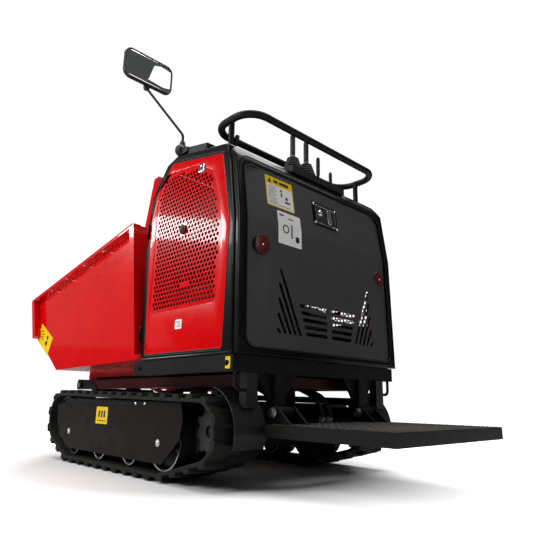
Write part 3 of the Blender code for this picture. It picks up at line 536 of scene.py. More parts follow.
# ---- tracks ----
def belt_line(wheels, extra, step=6.0):
    """The closed line of a belt round wheels given as (Y, Z, radius)."""
    tangents = []
    for i, (y, z, radius) in enumerate(wheels):
        after = wheels[(i + 1) % len(wheels)]
        run = Vector((after[0] - y, after[1] - z))
        tangents.append(math.degrees(math.atan2(run.y, run.x) - math.acos((radius - after[2]) / run.length)))
    line = []
    for i, (y, z, radius) in enumerate(wheels):
        start, end = tangents[i - 1], tangents[i]
        while end < start:
            end += 360.0
        line += arc((y, z), radius + extra, start, end, max(1, round((end - start) / step)))
    return line


def along(line, count):
    """Evenly spaced (place, direction) pairs round a closed line."""
    points = [Vector(point) for point in line]
    runs = list(zip(points, points[1:] + points[:1]))
    total = sum((b - a).length for a, b in runs)
    out, passed = [], 0.0
    wanted = [total * i / count for i in range(count)]
    for a, b in runs:
        length = (b - a).length
        while wanted and wanted[0] < passed + length:
            out.append((a + (b - a) * ((wanted.pop(0) - passed) / length), (b - a).normalized()))
        passed += length
    return out


def lug(place, run, x0, x1, side, skew):
    """One tread bar: a tapered block that leans forwards across the belt."""
    out = Vector((run.y, -run.x))
    bm = bmesh.new()
    rings = []
    for x, shift in ((x0, -skew), (x0 + (x1 - x0) * 0.78, skew * 0.4), (x1, skew)):
        ring = []
        for ahead, high in ((-0.019, -0.002), (-0.013, LUG_HEIGHT), (0.013, LUG_HEIGHT), (0.019, -0.002)):
            if x == x0 and high > 0:
                high *= 0.82
            spot = place + run * (ahead + shift) + out * high
            ring.append(bm.verts.new((side * x, spot.x, spot.y)))
        rings.append(ring)
    for first, second in zip(rings, rings[1:]):
        for i in range(4):
            bm.faces.new((first[i], first[(i + 1) % 4], second[(i + 1) % 4], second[i]))
    bm.faces.new(rings[0])
    bm.faces.new(rings[-1])
    bmesh.ops.recalc_face_normals(bm, faces=bm.faces)
    return to_mesh(bm)


def side_sheet(outlines, side, inner, outer, bevel=0.0, segments=2):
    """A plate of (Y, Z) outlines between two distances out from the middle plane."""
    return sheet(outlines, "x", side * inner, side * outer, bevel, segments)


def printed(outlines, out):
    """Thin printed shapes on the rear panel."""
    return merged(*[on_panel((outline,), out, 0.0003) for outline in outlines])


def track_rubber(tag, side):
    """The belt's carcass with two rows of staggered lugs."""
    line = belt_line(WHEELS, CARCASS_OUTER)
    outlines = (line, belt_line(WHEELS, CARCASS_INNER))
    parts = [side_sheet(outlines, side, BELT_INNER + 0.002, BELT_OUTER - 0.002, 0.003)]
    length = sum((Vector(a) - Vector(b)).length for a, b in zip(line, line[1:] + line[:1]))
    links = round(length / TRACK_PITCH)
    for number, (place, run) in enumerate(along(line, links * 2)):
        start, end = (BELT_INNER, TRACK_CENTRE + 0.012) if number % 2 else (BELT_OUTER, TRACK_CENTRE - 0.012)
        parts.append(lug(place, run, start, end, side, 0.006))
    belt = ("track_belt_" + tag,)
    add("track_rubber_" + tag, merged(*parts), RUBBER, "root", belt, angle=30, soften=0.0015)


def wheel(stem, tag, side, body, y, z, radius):
    """A cast wheel with a worn rim and four bolts."""
    web = radius - 0.012
    half = [(0.0126, 0.052), (0.024, 0.052), (0.026, 0.049), (0.028, 0.036), (web - 0.004, 0.034),
            (web, 0.037), (web + 0.003, 0.054), (radius - 0.003, 0.055), (radius - 0.0006, 0.0525),
            (radius - 0.0006, 0.02), (radius - 0.01, 0.013)]
    profile = half + [(r, -h) for r, h in reversed(half)]
    centre = (side * TRACK_CENTRE, y, z)
    rides = "%s_%s" % (body, tag)
    node_name = "%s_%s" % (stem, tag)
    casting = lathe(profile, centre, (1, 0, 0), 64, closed=True)
    add(node_name + "_casting", casting, CAST, rides, (node_name,))
    face = centre[0] + side * 0.0545
    ring = ((radius - 0.0048, 0.0), (radius - 0.0048, 0.0012),
            (radius - 0.0014, 0.0012), (radius - 0.001, 0.0))
    add(node_name + "_rim", lathe(ring, (face, y, z), (side, 0, 0), 64, closed=True), POLISHED, rides)
    bolt_x, circle_radius = face - side * 0.0195, web * 0.62
    bolts = []
    for turn in (0.5, 2.07, 3.64, 5.21):
        spot = (bolt_x, y + circle_radius * math.cos(turn), z + circle_radius * math.sin(turn))
        bolts.append(hex_head(spot, (side, 0, 0), 0.011, 0.006))
    add(node_name + "_bolts", merged(*bolts), STEEL, rides)


def sprocket_hub(tag, side):
    """Stepped hub plate on the drive sprocket, with six bolts."""
    bolt_x = side * (TRACK_CENTRE + 0.0232)
    bolts = [hex_head((bolt_x, y, z), (side, 0, 0), 0.013, 0.007) for y, z in circle(SPROCKET[:2], 0.04, 6)]
    steps = mm(18, 0, 18, 10, 30, 10, 32, 7, 56, 7, 58, 4, 58, 0)
    centre = (side * (TRACK_CENTRE + 0.0225), *SPROCKET[:2])
    disc = lathe(steps, centre, (side, 0, 0), 48, closed=True)
    add("sprocket_hub_" + tag, disc, CAST, "sprocket_" + tag)
    add("sprocket_bolts_" + tag, merged(*bolts), CAST, "sprocket_" + tag, slot="plated_steel")


def track_cover(tag, side):
    """Bolts, rails and label of the outer cover, and the beam behind its top edge."""
    outer = (side, 0, 0)
    washer = mm(0, 1.2, 11, 1.2, 11.5, -0.4, 0, -0.4)
    bolts = []
    for y, z in ((0.741, 0.116), (0.067, 0.113)):
        bolts.append(dome_head((side * COVER_FACE, y, z), outer, 0.0078, 0.005))
        bolts.append(lathe(washer, (side * COVER_FACE, y, z), outer, 28))
    add("cover_bolts_" + tag, merged(*bolts), STEEL)
    shape = mm(-45, 205, -45, 238.5, 800, 247, 860, 215, 855, 205)
    beam = mm(-45, 226, -45, 237, 735, 249.5, 735, 226)
    lip = side_sheet((rounded(shape, 0.01),), side, 0.404, 0.411, 0.001)
    add("cover_rail_" + tag, merged(lip, side_sheet((beam,), side, 0.266, 0.4045)), BLACK)
    small = [dome_head((side * 0.411, y, 0.2315), outer, 0.0062, 0.004) for y in (0.17, 0.23)]
    add("cover_rail_bolts_" + tag, merged(*small), STEEL)
    label = rectangle(0.418, 0.51, 0.155, 0.216, 0.004)
    add("cover_label_" + tag, side_sheet((label,), side, COVER_FACE, 0.4164), YELLOW)
    marks = [rectangle(y, y + 0.013, 0.178, 0.203, 0.003) for y in (0.436, 0.457, 0.478)]
    marks.append(rectangle(0.428, 0.5, 0.165, 0.168))
    add("cover_label_marks_" + tag, side_sheet(marks, side, 0.4162, 0.4166), INK_AND_PAINTED_SHADE)


def track_drive(tag, side):
    """Rolled edges of the mudguard, and the travel motor's two hoses."""
    curl = arc(SPROCKET[:2], 0.1297, 102, 200, 28)
    lips = [tube([(side * x, y, z) for y, z in curl], 0.0022) for x in (0.2705, 0.3845)]
    add("mudguard_lips_" + tag, merged(*lips), PLASTIC)
    path = ((0.165, -0.15, 0.175), (0.15, -0.175, 0.205), (0.135, -0.15, 0.262),
            (0.13, -0.08, 0.29), (0.12, 0.02, 0.31))
    sleeve = mm(0, 30, 9.5, 30, 11.2, 26, 11.2, 4, 0, 4)
    for number in range(2):
        shifted = [(side * x - side * 0.03 * number, y + 0.012 * number, z) for x, y, z in path]
        hose = tube(rounded_path(shifted, 0.05, 8), 0.0085)
        add("motor_hose_%d_%s" % (number, tag), hose, BOOT)
        ferrule = lathe(sleeve, shifted[0], Vector(shifted[1]) - Vector(shifted[0]), 24)
        add("motor_ferrule_%d_%s" % (number, tag), ferrule, POLISHED)


WHEELS = (REAR_WHEEL, (ROLLER_Y[2], ROLLER_Z, ROLLER_RADIUS), IDLER, SPROCKET)
WHEEL_BODY = {"front_idler": ("idler", IDLER), "rear_wheel": ("wheel_rear", REAR_WHEEL)}
for number, y in enumerate(ROLLER_Y, 1):
    WHEEL_BODY["track_roller_%d" % number] = ("roller_%d" % number, (y, ROLLER_Z, ROLLER_RADIUS))
for tag, side in SIDES:
    track_rubber(tag, side)
for tag, side in SIDES:
    for stem, (body, place) in WHEEL_BODY.items():
        wheel(stem, tag, side, body, *place)
    sprocket_hub(tag, side)
    track_cover(tag, side)
    track_drive(tag, side)


# ---- platform and base ----
def deck_tread():
    """Rows of crossed lozenges on the step, clear of its ears."""
    size = Matrix.Diagonal((0.0074, 0.0022, 0.0016, 1.0))
    tread = []
    for row in range(32):
        for column in range(37):
            x = -0.27 + 0.015 * column
            y = -0.71 + 0.013 * row
            if any(abs(abs(x) - ear) < 0.014 for ear in (0.172, 0.244)) and y > -0.37:
                continue
            turn = Matrix.Rotation(math.radians(45 if (row + column) % 2 else -45), 4, "Z")
            place = Matrix.Translation((x, y, 0.1816)) @ turn @ size
            bm = bmesh.new()
            bmesh.ops.create_cone(bm, cap_ends=True, segments=6, radius1=1.0, radius2=0.55, depth=1.0)
            bmesh.ops.transform(bm, matrix=place, verts=bm.verts)
            tread.append(to_mesh(bm))
    add("deck_tread", merged(*tread), DECK, "platform", angle=20)


def base_fittings(tag, side):
    """Hinge bolt of the step, lashing loop and side bolts of the base."""
    hinge_y, hinge_z = -0.283, 0.214
    parts = []
    for x, facing in ((0.152, -1), (0.264, 1)):
        spot = (side * (x - facing * 0.0105), hinge_y, hinge_z)
        parts.append(hex_head(spot, (side * facing, 0, 0), 0.022, 0.0105))
    shank = mm(0, 52, 7.9, 52, 7.9, -52, 0, -52)
    parts.append(lathe(shank, (side * 0.208, hinge_y, hinge_z), (1, 0, 0), 24))
    add("platform_bolt_" + tag, merged(*parts), STEEL, "root", ("platform_pin_" + tag,))
    corners = mm(330, 330, 330, 276, 385, 276, 385, 330)
    loop = rounded_path([(side * x, -0.262, z) for x, z in corners], 0.018, 8)
    add("lashing_loop_" + tag, tube(loop, 0.0052), BLACK)
    bolts = [hex_head((side * 0.403, y, 0.35), (side, 0, 0), 0.012, 0.006) for y in (-0.245, 0.24)]
    add("base_bolts_" + tag, merged(*bolts), BLACK)


deck_tread()
for tag, side in SIDES:
    base_fittings(tag, side)
sticker = rectangle(-0.262, -0.24, 0.334, 0.368, 0.003)
add("base_sticker", sheet((sticker,), "x", -0.4036, -0.4029), YELLOW)
add("base_sticker_mark", sheet((circle((-0.251, 0.351), 0.0065),), "x", -0.404, -0.4034), INK_AND_PAINTED_SHADE)


# ---- body sides ----
def side_frame(tag, side):
    """Pressed frame round a door, with its seal and outer bead."""
    opening = rounded(inset(DOOR_OUTLINE, -0.0032), 0.012)
    ring = side_sheet((rounded(SIDE_OUTLINE, 0.012), opening), side, SIDE_INNER, BODY_HALF, 0.0042, 4)
    add("side_frame_%s_pressing" % tag, ring, GLOSS, "root", ("side_frame_" + tag,), angle=40)
    seal = [(side * 0.4, y, z) for y, z in rounded(inset(DOOR_OUTLINE, -0.002), 0.012)]
    add("door_seal_" + tag, tube(seal, 0.0021, closed=True, sides=3), BOOT)
    bead = [(side * 0.4003, y, z) for y, z in rounded(inset(SIDE_OUTLINE, 0.006), 0.016)]
    add("side_bead_" + tag, tube(bead, 0.0036, closed=True, sides=3), GLOSS)


def door_holes():
    """Staggered round holes within the mesh zone, clear of the lock, the buffer and a plain patch."""
    zone = inset(MESH_ZONE, 0.003)
    holes = []
    for row in range(34):
        z = 0.5565 + row * HOLE_PITCH * 0.866
        for column in range(24):
            y = -0.2 + HOLE_PITCH * (column + 0.5 * (row % 2))
            near_lock = math.hypot(y - LOCK[0], z - LOCK[1]) < 0.026
            near_buffer = math.hypot(y - BUFFER[0], z - BUFFER[1]) < 0.021
            plain = abs(y + 0.005) < 0.028 and abs(z - 0.617) < 0.012
            if inside((y, z), zone) and not (near_lock or near_buffer or plain):
                holes.append(circle((y, z), HOLE_RADIUS, 10))
    return holes


def door_skin(tag, side):
    """Red door: smooth border, rim and perforated field."""
    border = rounded(inset(MESH_ZONE, -0.012), 0.02)
    face = side_sheet((rounded(DOOR_OUTLINE, 0.01), border), side, 0.399, 0.4012, 0.001)
    rim_lines = (rounded(inset(DOOR_OUTLINE, 0.0006), 0.01), rounded(inset(DOOR_OUTLINE, 0.003), 0.008))
    rim = side_sheet(rim_lines, side, 0.3872, 0.3995)
    field = [rounded(inset(MESH_ZONE, -0.016), 0.02)] + door_holes()
    mesh = side_sheet(field, side, 0.3978, 0.3996)
    skin = merged(face, rim, mesh)
    add("door_%s_skin" % tag, skin, RED, "door_" + tag, ("side_door_" + tag,), angle=30)


def door_fittings(tag, side):
    """Rubber buffer, round lock, small sticker and two hinges of a door."""
    body, stem, out = "door_" + tag, "door_%s_" % tag, (side, 0, 0)
    knob = mm(0, 20, 8, 20, 11, 18, 13.5, 12, 16.5, 10, 17.5, 6, 16.5, 0, 0, 0)
    knob = [(r, h * 0.62) for r, h in knob]
    add(stem + "buffer", lathe(knob, (side * 0.3996, *BUFFER), out, 40), BOOT, body)
    lock = mm(0, 3.5, 6.5, 3.5, 7, 5, 13, 6, 16.5, 5, 18.5, 1.5, 18.5, -0.5, 0, -0.5)
    add(stem + "lock", lathe(lock, (side * 0.4012, *LOCK), out, 40), CHROME, body)
    # The lock's key slot is a black sheet on the lock face: painted shade standing in for the opening.
    slot_line = rectangle(-0.0742, -0.0718, 1.0105, 1.0235)
    add(stem + "lock_slot", side_sheet((slot_line,), side, 0.4045, 0.4053), INK_AND_PAINTED_SHADE, body)
    sticker_line = rectangle(-0.004, 0.034, 0.47, 0.502, 0.005)
    add(stem + "sticker", side_sheet((sticker_line,), side, 0.401, 0.4015), WHITE, body)
    lines = [side_sheet((rectangle(0.002, end, low, low + 0.003),), side, 0.4013, 0.4017)
             for end, low in ((0.027, 0.492), (0.02, 0.485), (0.027, 0.478))]
    add(stem + "sticker_marks", merged(*lines), GREY_INK, body)
    knuckle = mm(0, 28, 4.5, 28, 5.2, 26, 5.2, -26, 4.5, -28, 0, -28)
    for number, z in enumerate((0.47, 0.86)):
        hinge = lathe(knuckle, (side * 0.404, 0.247, z), (0, 0, 1), 20)
        add(stem + "hinge_%d" % number, hinge, GLOSS, body)


for tag, side in SIDES:
    side_frame(tag, side)
    door_skin(tag, side)
    door_fittings(tag, side)


# ---- body rear ----
def rear_frame():
    """Pressed rear frame with its seal and bead, and the seal under the hood."""
    corner = rounded(rectangle(-BODY_HALF, BODY_HALF, 0.3748, 1.055), 0.04, 10)
    outline = [(-BODY_HALF, 0.3748), (BODY_HALF, 0.3748)] + [(x, z) for x, z in corner if z > 0.5]
    window = rectangle(-0.3735, 0.3735, 0.3965, 0.9875, 0.036)
    pressing = on_frame((outline, window), 0.0, 0.022, 0.0048)
    add("rear_frame_pressing", pressing, GLOSS, "root", ("rear_frame",), angle=40)
    lines = (rectangle(-0.3745, 0.3745, 0.3955, 0.9885, 0.037),
             rectangle(-0.3705, 0.3705, 0.3995, 0.9845, 0.033))
    seal = wrapped(sheet(lines, "y", -0.0015, 0.006, 0.0012), FRAME_BACK, (0.8,))
    add("rear_seal", seal, BOOT, angle=50)
    add("hood_seal", tube([(-0.372, 0.149, 1.076), (0.372, 0.149, 1.076)], 0.006), BOOT)
    line = rectangle(-0.3915, 0.3915, 0.385, 1.016, 0.045)
    bead = [(x, interpolate(FRAME_BACK, z) + 0.001, z) for x, z in line]
    add("rear_bead", tube(bead, 0.0036, closed=True, sides=3), GLOSS)


def louvres():
    """Five slanted and five level slots on each half of the panel."""
    slots = []
    for number in range(5):
        top, bottom, start = 0.652 - 0.048 * number, 0.447, -0.24 - 0.004 * number
        end = start + 0.088 / 0.205 * (top - bottom) + 0.002 * number
        slots.append(((start, top), (start + 0.013, top + 0.002), (end + 0.013, bottom), (end, bottom)))
        z, left = 0.552 - 0.0225 * number, -0.148 + 0.007 * number
        slots.append(((left, z), (-0.012, z), (-0.012, z - 0.012), (left + 0.003, z - 0.012)))
    slots += [tuple((-x, z) for x, z in slot) for slot in slots]
    return [rounded(slot, 0.0035, 3) for slot in slots]


def rear_panel():
    """Louvred panel with a turned-in flange."""
    half = PANEL_HALF - 0.002
    outline = rectangle(-half, half, PANEL_LOW + 0.002, PANEL_HIGH - 0.002, 0.032)
    skin = on_panel([outline] + louvres(), 0.0, 0.0022)
    edges = (rectangle(-0.37, 0.37, 0.4, 0.984, 0.032), rectangle(-0.367, 0.367, 0.403, 0.981, 0.03))
    flange = on_panel(edges, -0.002, 0.012)
    add("rear_panel_skin", merged(skin, flange), PANEL, "rear_door", ("rear_panel",), angle=3)


def latch():
    """Latch plate with a recess, a round lock, rivets and a pull handle."""
    plate = rectangle(-0.058, 0.076, 0.853, 0.941, 0.006)
    recess = rectangle(-0.041, 0.064, 0.863, 0.931, 0.004)
    dish = on_panel((plate, recess), 0.0022, 0.0026, 0.0006)
    add("latch_plate", dish, GLOSS, "rear_door", ("rear_latch_plate",), slot="plated_steel")
    rim = on_panel((inset(recess, -0.0022), recess), 0.0036, 0.0026, 0.0005)
    add("latch_rim", rim, CHROME, "rear_door")
    add("latch_well", on_panel((recess,), 0.0008, 0.0006), INK_AND_PAINTED_SHADE, "rear_door")
    barrel = mm(0, 4.5, 3, 4.5, 3.4, 6.5, 8.5, 7, 11.2, 5, 12.5, 0, 0, 0)
    lock = lathe(barrel, panel_place(-0.018, 0.903, 0.0008), OUTWARD, 36)
    add("latch_lock", lock, CHROME, "rear_door")
    rivets = [dome_head(panel_place(x, z, 0.002), OUTWARD, 0.0042, 0.0026)
              for x in (-0.05, 0.07) for z in (0.86, 0.934)]
    add("latch_rivets", merged(*rivets), CHROME, "rear_door")
    handle = on_panel((rectangle(0.019, 0.042, 0.87, 0.925, 0.005),), 0.0058, 0.0035, 0.0014)
    add("latch_handle", handle, CHROME, "latch_paddle", ("rear_latch_paddle",))


def panel_place(x, z, out):
    """A point a distance out of the rear panel."""
    return Vector((x, interpolate(PANEL_BACK, z) - out, z))


def panel_notices():
    """Yellow notice and white rating label, with plain bars and shapes."""
    notice = rectangle(-0.285, -0.156, 0.862, 0.972, 0.004)
    add("panel_notice", on_panel((notice,), 0.0004, 0.0004), YELLOW, "rear_door")
    field = rectangle(-0.281, -0.16, 0.866, 0.943, 0.002)
    add("panel_notice_field", on_panel((field,), 0.0006, 0.0003), WHITE, "rear_door")
    widths = (0.095, 0.041, 0.036, 0.041, 0.03, 0.039, 0.033, 0.041, 0.036, 0.04)
    bars = [rectangle(-0.276, -0.276 + wide, 0.871 + 0.007 * i, 0.8734 + 0.007 * i)
            for i, wide in enumerate(widths)]
    add("panel_notice_lines", printed(bars, 0.0008), GREY_INK, "rear_door")
    signs = [((-0.274, 0.949), (-0.256, 0.949), (-0.265, 0.966)),
             rectangle(-0.247, -0.227, 0.952, 0.963, 0.002), rectangle(-0.22, -0.175, 0.952, 0.963, 0.002),
             circle((-0.214, 0.93), 0.005, 16), rectangle(-0.217, -0.211, 0.906, 0.923, 0.002),
             circle((-0.19, 0.906), 0.0065, 16), rectangle(-0.201, -0.174, 0.888, 0.895, 0.003)]
    add("panel_notice_signs", printed(signs, 0.0008), INK_AND_PAINTED_SHADE, "rear_door")
    rating = rectangle(-0.243, -0.133, 0.738, 0.852, 0.005)
    add("panel_rating", on_panel((rating,), 0.0006, 0.0004), WHITE, "rear_door")
    badge = (-0.208, 0.792)
    ring = on_panel((circle(badge, 0.015, 32), circle(badge, 0.0105, 32)), 0.0009, 0.0003)
    dashes = [rectangle(-0.183, -0.177, 0.764, 0.813, 0.002), rectangle(-0.234, -0.214, 0.836, 0.842, 0.001),
              rectangle(-0.194, -0.169, 0.83, 0.834, 0.001), rectangle(-0.162, -0.144, 0.756, 0.776, 0.004)]
    add("panel_rating_marks", merged(ring, printed(dashes, 0.0009)), INK_AND_PAINTED_SHADE, "rear_door")


def reflector(tag, side):
    """Round reflector: domed lens in a cup, with a screw in its middle."""
    depth = interpolate(PANEL_BACK, REFLECTOR_Z) + PANEL_CHAMFER * (REFLECTOR_X - PANEL_FOLD)
    centre = Vector((side * REFLECTOR_X, depth, REFLECTOR_Z))
    dome = mm(0, 7.5, 12, 7.3, 22, 6.4, 28.5, 4.8, 30, 3, 30, 0, 0, 0)
    lens = lathe([(r, h + 0.001) for r, h in dome], centre, (0, -1, 0), 64)
    add("reflector_lens_" + tag, lens, LENS, "rear_door", ("reflector_" + tag,))
    wall = mm(29, -6, 29, 6.2, 31, 6.6, 32.5, 5, 32.5, -6)
    cup = lathe(wall, centre, (0, -1, 0), 64, closed=True)
    add("reflector_cup_" + tag, cup, PLASTIC, "rear_door")
    screw = dome_head(centre + Vector((0, -0.008, 0)), (0, -1, 0), 0.0032, 0.0018)
    add("reflector_screw_" + tag, screw, CHROME, "rear_door", slot=None)


OUTWARD = Vector((0.0, -0.196, 0.0285)).normalized()
rear_frame()
rear_panel()
latch()
panel_notices()
for tag, side in SIDES:
    reflector(tag, side)


# ---- console, rail and levers ----
def console_height(y):
    """Height of the sloping console top."""
    return 1.059 + CONSOLE_SLOPE * (y + 0.19)


def console():
    """Label, screws, relay box and choke lever on the console."""
    tilt = Matrix.Rotation(math.atan(CONSOLE_SLOPE), 4, "X")
    label = sheet((rectangle(-0.25, -0.135, -0.188, -0.168, 0.002),), "z", 0.0, 0.0004)
    label.transform(Matrix.Translation((0, 0, console_height(0.0) + 0.0002)) @ tilt)
    add("console_label", label, YELLOW)
    screws = [dome_head((x, y, console_height(y)), (0, -CONSOLE_SLOPE, 1), 0.005, 0.003)
              for x in (-0.352, -0.205, 0.205, 0.352) for y in (-0.18, 0.06)]
    add("console_screws", merged(*screws), STEEL)
    relay = block((-0.395, -0.085, 1.094), (-0.325, 0.03, 1.128), tilt)
    add("relay_box", relay, PLASTIC, soften=0.005)
    stick = mm(0, 66, 7.5, 64, 8.5, 60, 8, 30, 4.5, 24, 4.5, -4, 0, -4)
    choke = lathe(stick, (-0.338, -0.165, console_height(-0.165) + 0.004), (0.16, -0.06, 1), 28)
    add("choke_lever", choke, PLASTIC)


def hand_rail():
    """Rail loop on two posts with round feet."""
    corners = rectangle(-RAIL_HALF, RAIL_HALF, RAIL_REAR, RAIL_FRONT)
    loop = rounded_path([(x, y, RAIL_Z) for x, y in corners], 0.078, 12, closed=True)
    parts = [tube(loop, RAIL_TUBE, closed=True, sides=7)]
    flange = mm(0, 4, 20, 4, 22, 2, 22, -2, 0, -2)
    for _, side in SIDES:
        foot = (side * RAIL_POST, -0.165, console_height(-0.165) + 0.003)
        parts.append(tube([foot, (side * RAIL_POST, -0.165, RAIL_Z)], 0.0105, sides=6))
        parts.append(lathe(flange, foot, (0, -CONSOLE_SLOPE, 1), 32))
    add("hand_rail", merged(*parts), BLACK, "root", ("grab_rail",), angle=40)


def lever_grip(name, height, grip, node_name, ribbed):
    """Stick of a lever with a thicker grip, ribbed on the drive levers."""
    low = height * 0.42
    shape = [(0.0, height), (grip * 0.5, height - 0.001), (grip * 0.88, height - 0.005),
             (grip, height - 0.012)]
    for i in range(6 if ribbed else 0):
        top = height - 0.008 * i
        shape += [(grip, top - 0.016), (grip * 0.9, top - 0.018), (grip, top - 0.02)]
    shape += [(grip * 0.96, low + 0.006), (grip * 0.7, low - 0.004), (0.0055, low - 0.01),
              (0.0055, -0.006), (0.0, -0.006)]
    stick = lathe(shape, (LEVER_X[name], LEVER_Y, LEVER_PIVOT_Z), (0, 0, 1), 36)
    add(node_name + "_grip", stick, PLASTIC, "lever_" + name, (node_name,))


def bellows(name):
    """Folded rubber boot round a drive lever."""
    x = LEVER_X[name]
    folds = [(0.0362, 0.0), (0.0366, 0.003)]
    for i in range(5):
        wide = 0.036 - 0.0034 * i
        z = 0.007 + 0.0105 * i
        folds += [(wide - 0.0055, z - 0.003), (wide, z + 0.0005), (wide + 0.0006, z + 0.0028),
                  (wide - 0.001, z + 0.005)]
    folds += mm(11.2, 58, 10.4, 66, 9, 67, 9, 56, 15, 44, 26.5, 0)
    boot = lathe(folds, (x, LEVER_Y, PLINTH_TOP + 0.0006), (0, 0, 1), 48, closed=True)
    piece = add("lever_bellows_" + name, boot, BOOT, None, ("lever_boot_" + name,), angle=60)
    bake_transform(piece)


def gaiter(name, radius, look):
    """Low rubber collar round a small lever."""
    shape = [(radius + 0.002, 0.0), (radius + 0.002, 0.003), (radius * 0.8, 0.008), (radius * 0.55, 0.011),
             (0.0078, 0.016), (0.0066, 0.016), (0.0066, 0.012), (radius - 0.002, 0.0)]
    collar = lathe(shape, (LEVER_X[name], LEVER_Y, PLINTH_TOP + 0.0006), (0, 0, 1), 36, closed=True)
    piece = add(name + "_gaiter", collar, look, None, slot="rubber", angle=60)
    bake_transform(piece)


def key():
    """Key switch barrel with the key's flat bow."""
    base = Vector((0.215, -0.19, console_height(-0.175) + 0.0006))
    barrel = mm(0, 8, 12.5, 8, 15, 6, 15, 0, 0, 0)
    add("key_barrel", lathe(barrel, base, (0, 0, 1), 36), CHROME, "key", ("key_switch",))
    blade = block(base + Vector((-0.001, -0.003, 0.006)), base + Vector((0.001, 0.003, 0.014)))
    outline = ((-0.188 - 0.013, base.z + 0.013), (-0.192 + 0.013, base.z + 0.013),
               (-0.192 + 0.013, base.z + 0.0255), (-0.188 - 0.013, base.z + 0.0255))
    bow = sheet((rounded(outline, 0.005),), "x", 0.2138, 0.2162, 0.0006)
    add("key_bow", merged(blade, bow), PLASTIC, "key")


console()
hand_rail()
for name in ("left", "right"):
    lever_grip(name, 0.18, 0.01, "drive_lever_" + name, True)
    bellows(name)
lever_grip("tip", 0.138, 0.0078, "tip_lever", False)
lever_grip("throttle", 0.1, 0.007, "throttle_lever", False)
gaiter("tip", 0.0175, BOOT)
gaiter("throttle", 0.0205, RED_TRIM)
key()


# ---- mirror ----
def mirror_stalk():
    """Bent stalk with its ball, clamp nut and knob."""
    x, y = MIRROR_POST
    stalk = rounded_path([(x, y, 1.1235), (x, y, 1.212), MIRROR_BALL], 0.032, 10)
    add("mirror_arm_tube", tube(stalk, 0.005, sides=6), BLACK, "mirror_arm", ("mirror_stalk",))
    half_turn = [math.radians(-90 + 15 * i) for i in range(13)]
    ball = lathe([(0.01 * math.cos(a), 0.01 * math.sin(a)) for a in half_turn], MIRROR_BALL, (0, 0, 1), 28)
    add("mirror_ball", ball, PLASTIC, "mirror_arm")
    flats = mm(6, 0, 10.5, 0, 11.5, 3, 11.5, 12, 9, 20, 6, 22)
    add("mirror_nut", lathe(flats, (x, y, 1.1645), (0, 0, 1), 8, closed=True), PLASTIC)
    knob = mm(0, 24, 12, 24, 18.5, 19, 21, 10, 18.5, 0, 0, 0)
    add("mirror_clamp_knob", lathe(knob, (x - 0.002, y - 0.004, 1.1445), (-1, 0.2, 0), 36), PLASTIC)


def mirror_head():
    """Rounded case that narrows to the front, with glass, lip and socket."""
    x, y, z = MIRROR_BALL
    case = rectangle(x - 0.105, x + 0.105, z + 0.006, z + 0.134, 0.03)
    levels = mm(-11.5, 0, -9, -1.2, 0, -1.6, 5, 4, 9, 13, 11.5, 28)
    bm = bmesh.new()
    rings = []
    for depth, shrink in levels:
        rings.append([bm.verts.new((px, y + depth, pz)) for px, pz in inset(case, shrink + 0.0016)])
    for first, second in zip(rings, rings[1:]):
        for i in range(len(first)):
            j = (i + 1) % len(first)
            bm.faces.new((first[i], first[j], second[j], second[i]))
    bm.faces.new(rings[0])
    bm.faces.new(rings[-1])
    bmesh.ops.recalc_face_normals(bm, faces=bm.faces)
    add("mirror_case", to_mesh(bm), PLASTIC, "mirror", ("mirror_head",), angle=50)
    pane = inset(case, 0.0075)
    add("mirror_glass", sheet((pane,), "y", y - 0.0122, y - 0.0105, 0.0005), GLASS, "mirror")
    lip = sheet((inset(case, 0.001), pane), "y", y - 0.0142, y - 0.0105, 0.0012)
    add("mirror_lip", lip, PLASTIC, "mirror")
    cup = mm(0, 12, 12.5, 12, 12.5, -2, 9.5, -7.5, 0, -7.5)
    add("mirror_socket", lathe(cup, MIRROR_BALL, (0, 0, 1), 28), PLASTIC, "mirror")


mirror_stalk()
mirror_head()


# ---- skip ----
def skip_notice(tag, side):
    """Yellow notice on the tub's side, with plain marks."""
    outline = rounded(mm(1266, 612, 1106, 527, 1149, 446, 1307, 531), 0.003)
    add("skip_notice_" + tag, side_sheet((outline,), side, 0.3899, 0.3904), YELLOW, "skip")
    leaning = rounded(mm(1176, 492, 1196, 502, 1187, 520, 1167, 510), 0.002)
    marks = [circle((1.172, 0.532), 0.01, 16), leaning, rectangle(1.222, 1.25, 0.552, 0.556, 0.001),
             rectangle(1.23, 1.258, 0.54, 0.544, 0.001), rectangle(1.226, 1.246, 0.528, 0.532, 0.001),
             circle((1.246, 0.572), 0.006, 12)]
    shapes = [side_sheet((mark,), side, 0.3902, 0.3908) for mark in marks]
    add("skip_notice_marks_" + tag, merged(*shapes), INK_AND_PAINTED_SHADE, "skip")


def skip_rim(tag, side):
    """Rivets under the rim and its rolled outer edge."""
    head = mm(0, 0, 9.5, 0, 10, 1, 9.5, 3.2, 4, 4.5, 0, 4.5)
    rivets = []
    for share in (0.02, 0.24, 0.43, 0.62, 0.8, 0.97):
        y, z = 0.3745 + share * (1.342 - 0.3745), 0.901 + share * (0.7335 - 0.901)
        rivets.append(lathe(head, (side * 0.4075, y, z), (0, -0.17, -1), 20))
    add("rim_rivets_" + tag, merged(*rivets), CHROME, "skip")
    lip = [(side * 0.4195, y, z) for y, z in ((0.352, 0.9155), (1.3715, 0.7375), (1.289, 0.5365))]
    add("rim_lip_" + tag, tube(rounded_path(lip, 0.012, 6), 0.0028, sides=3), RED, "skip")


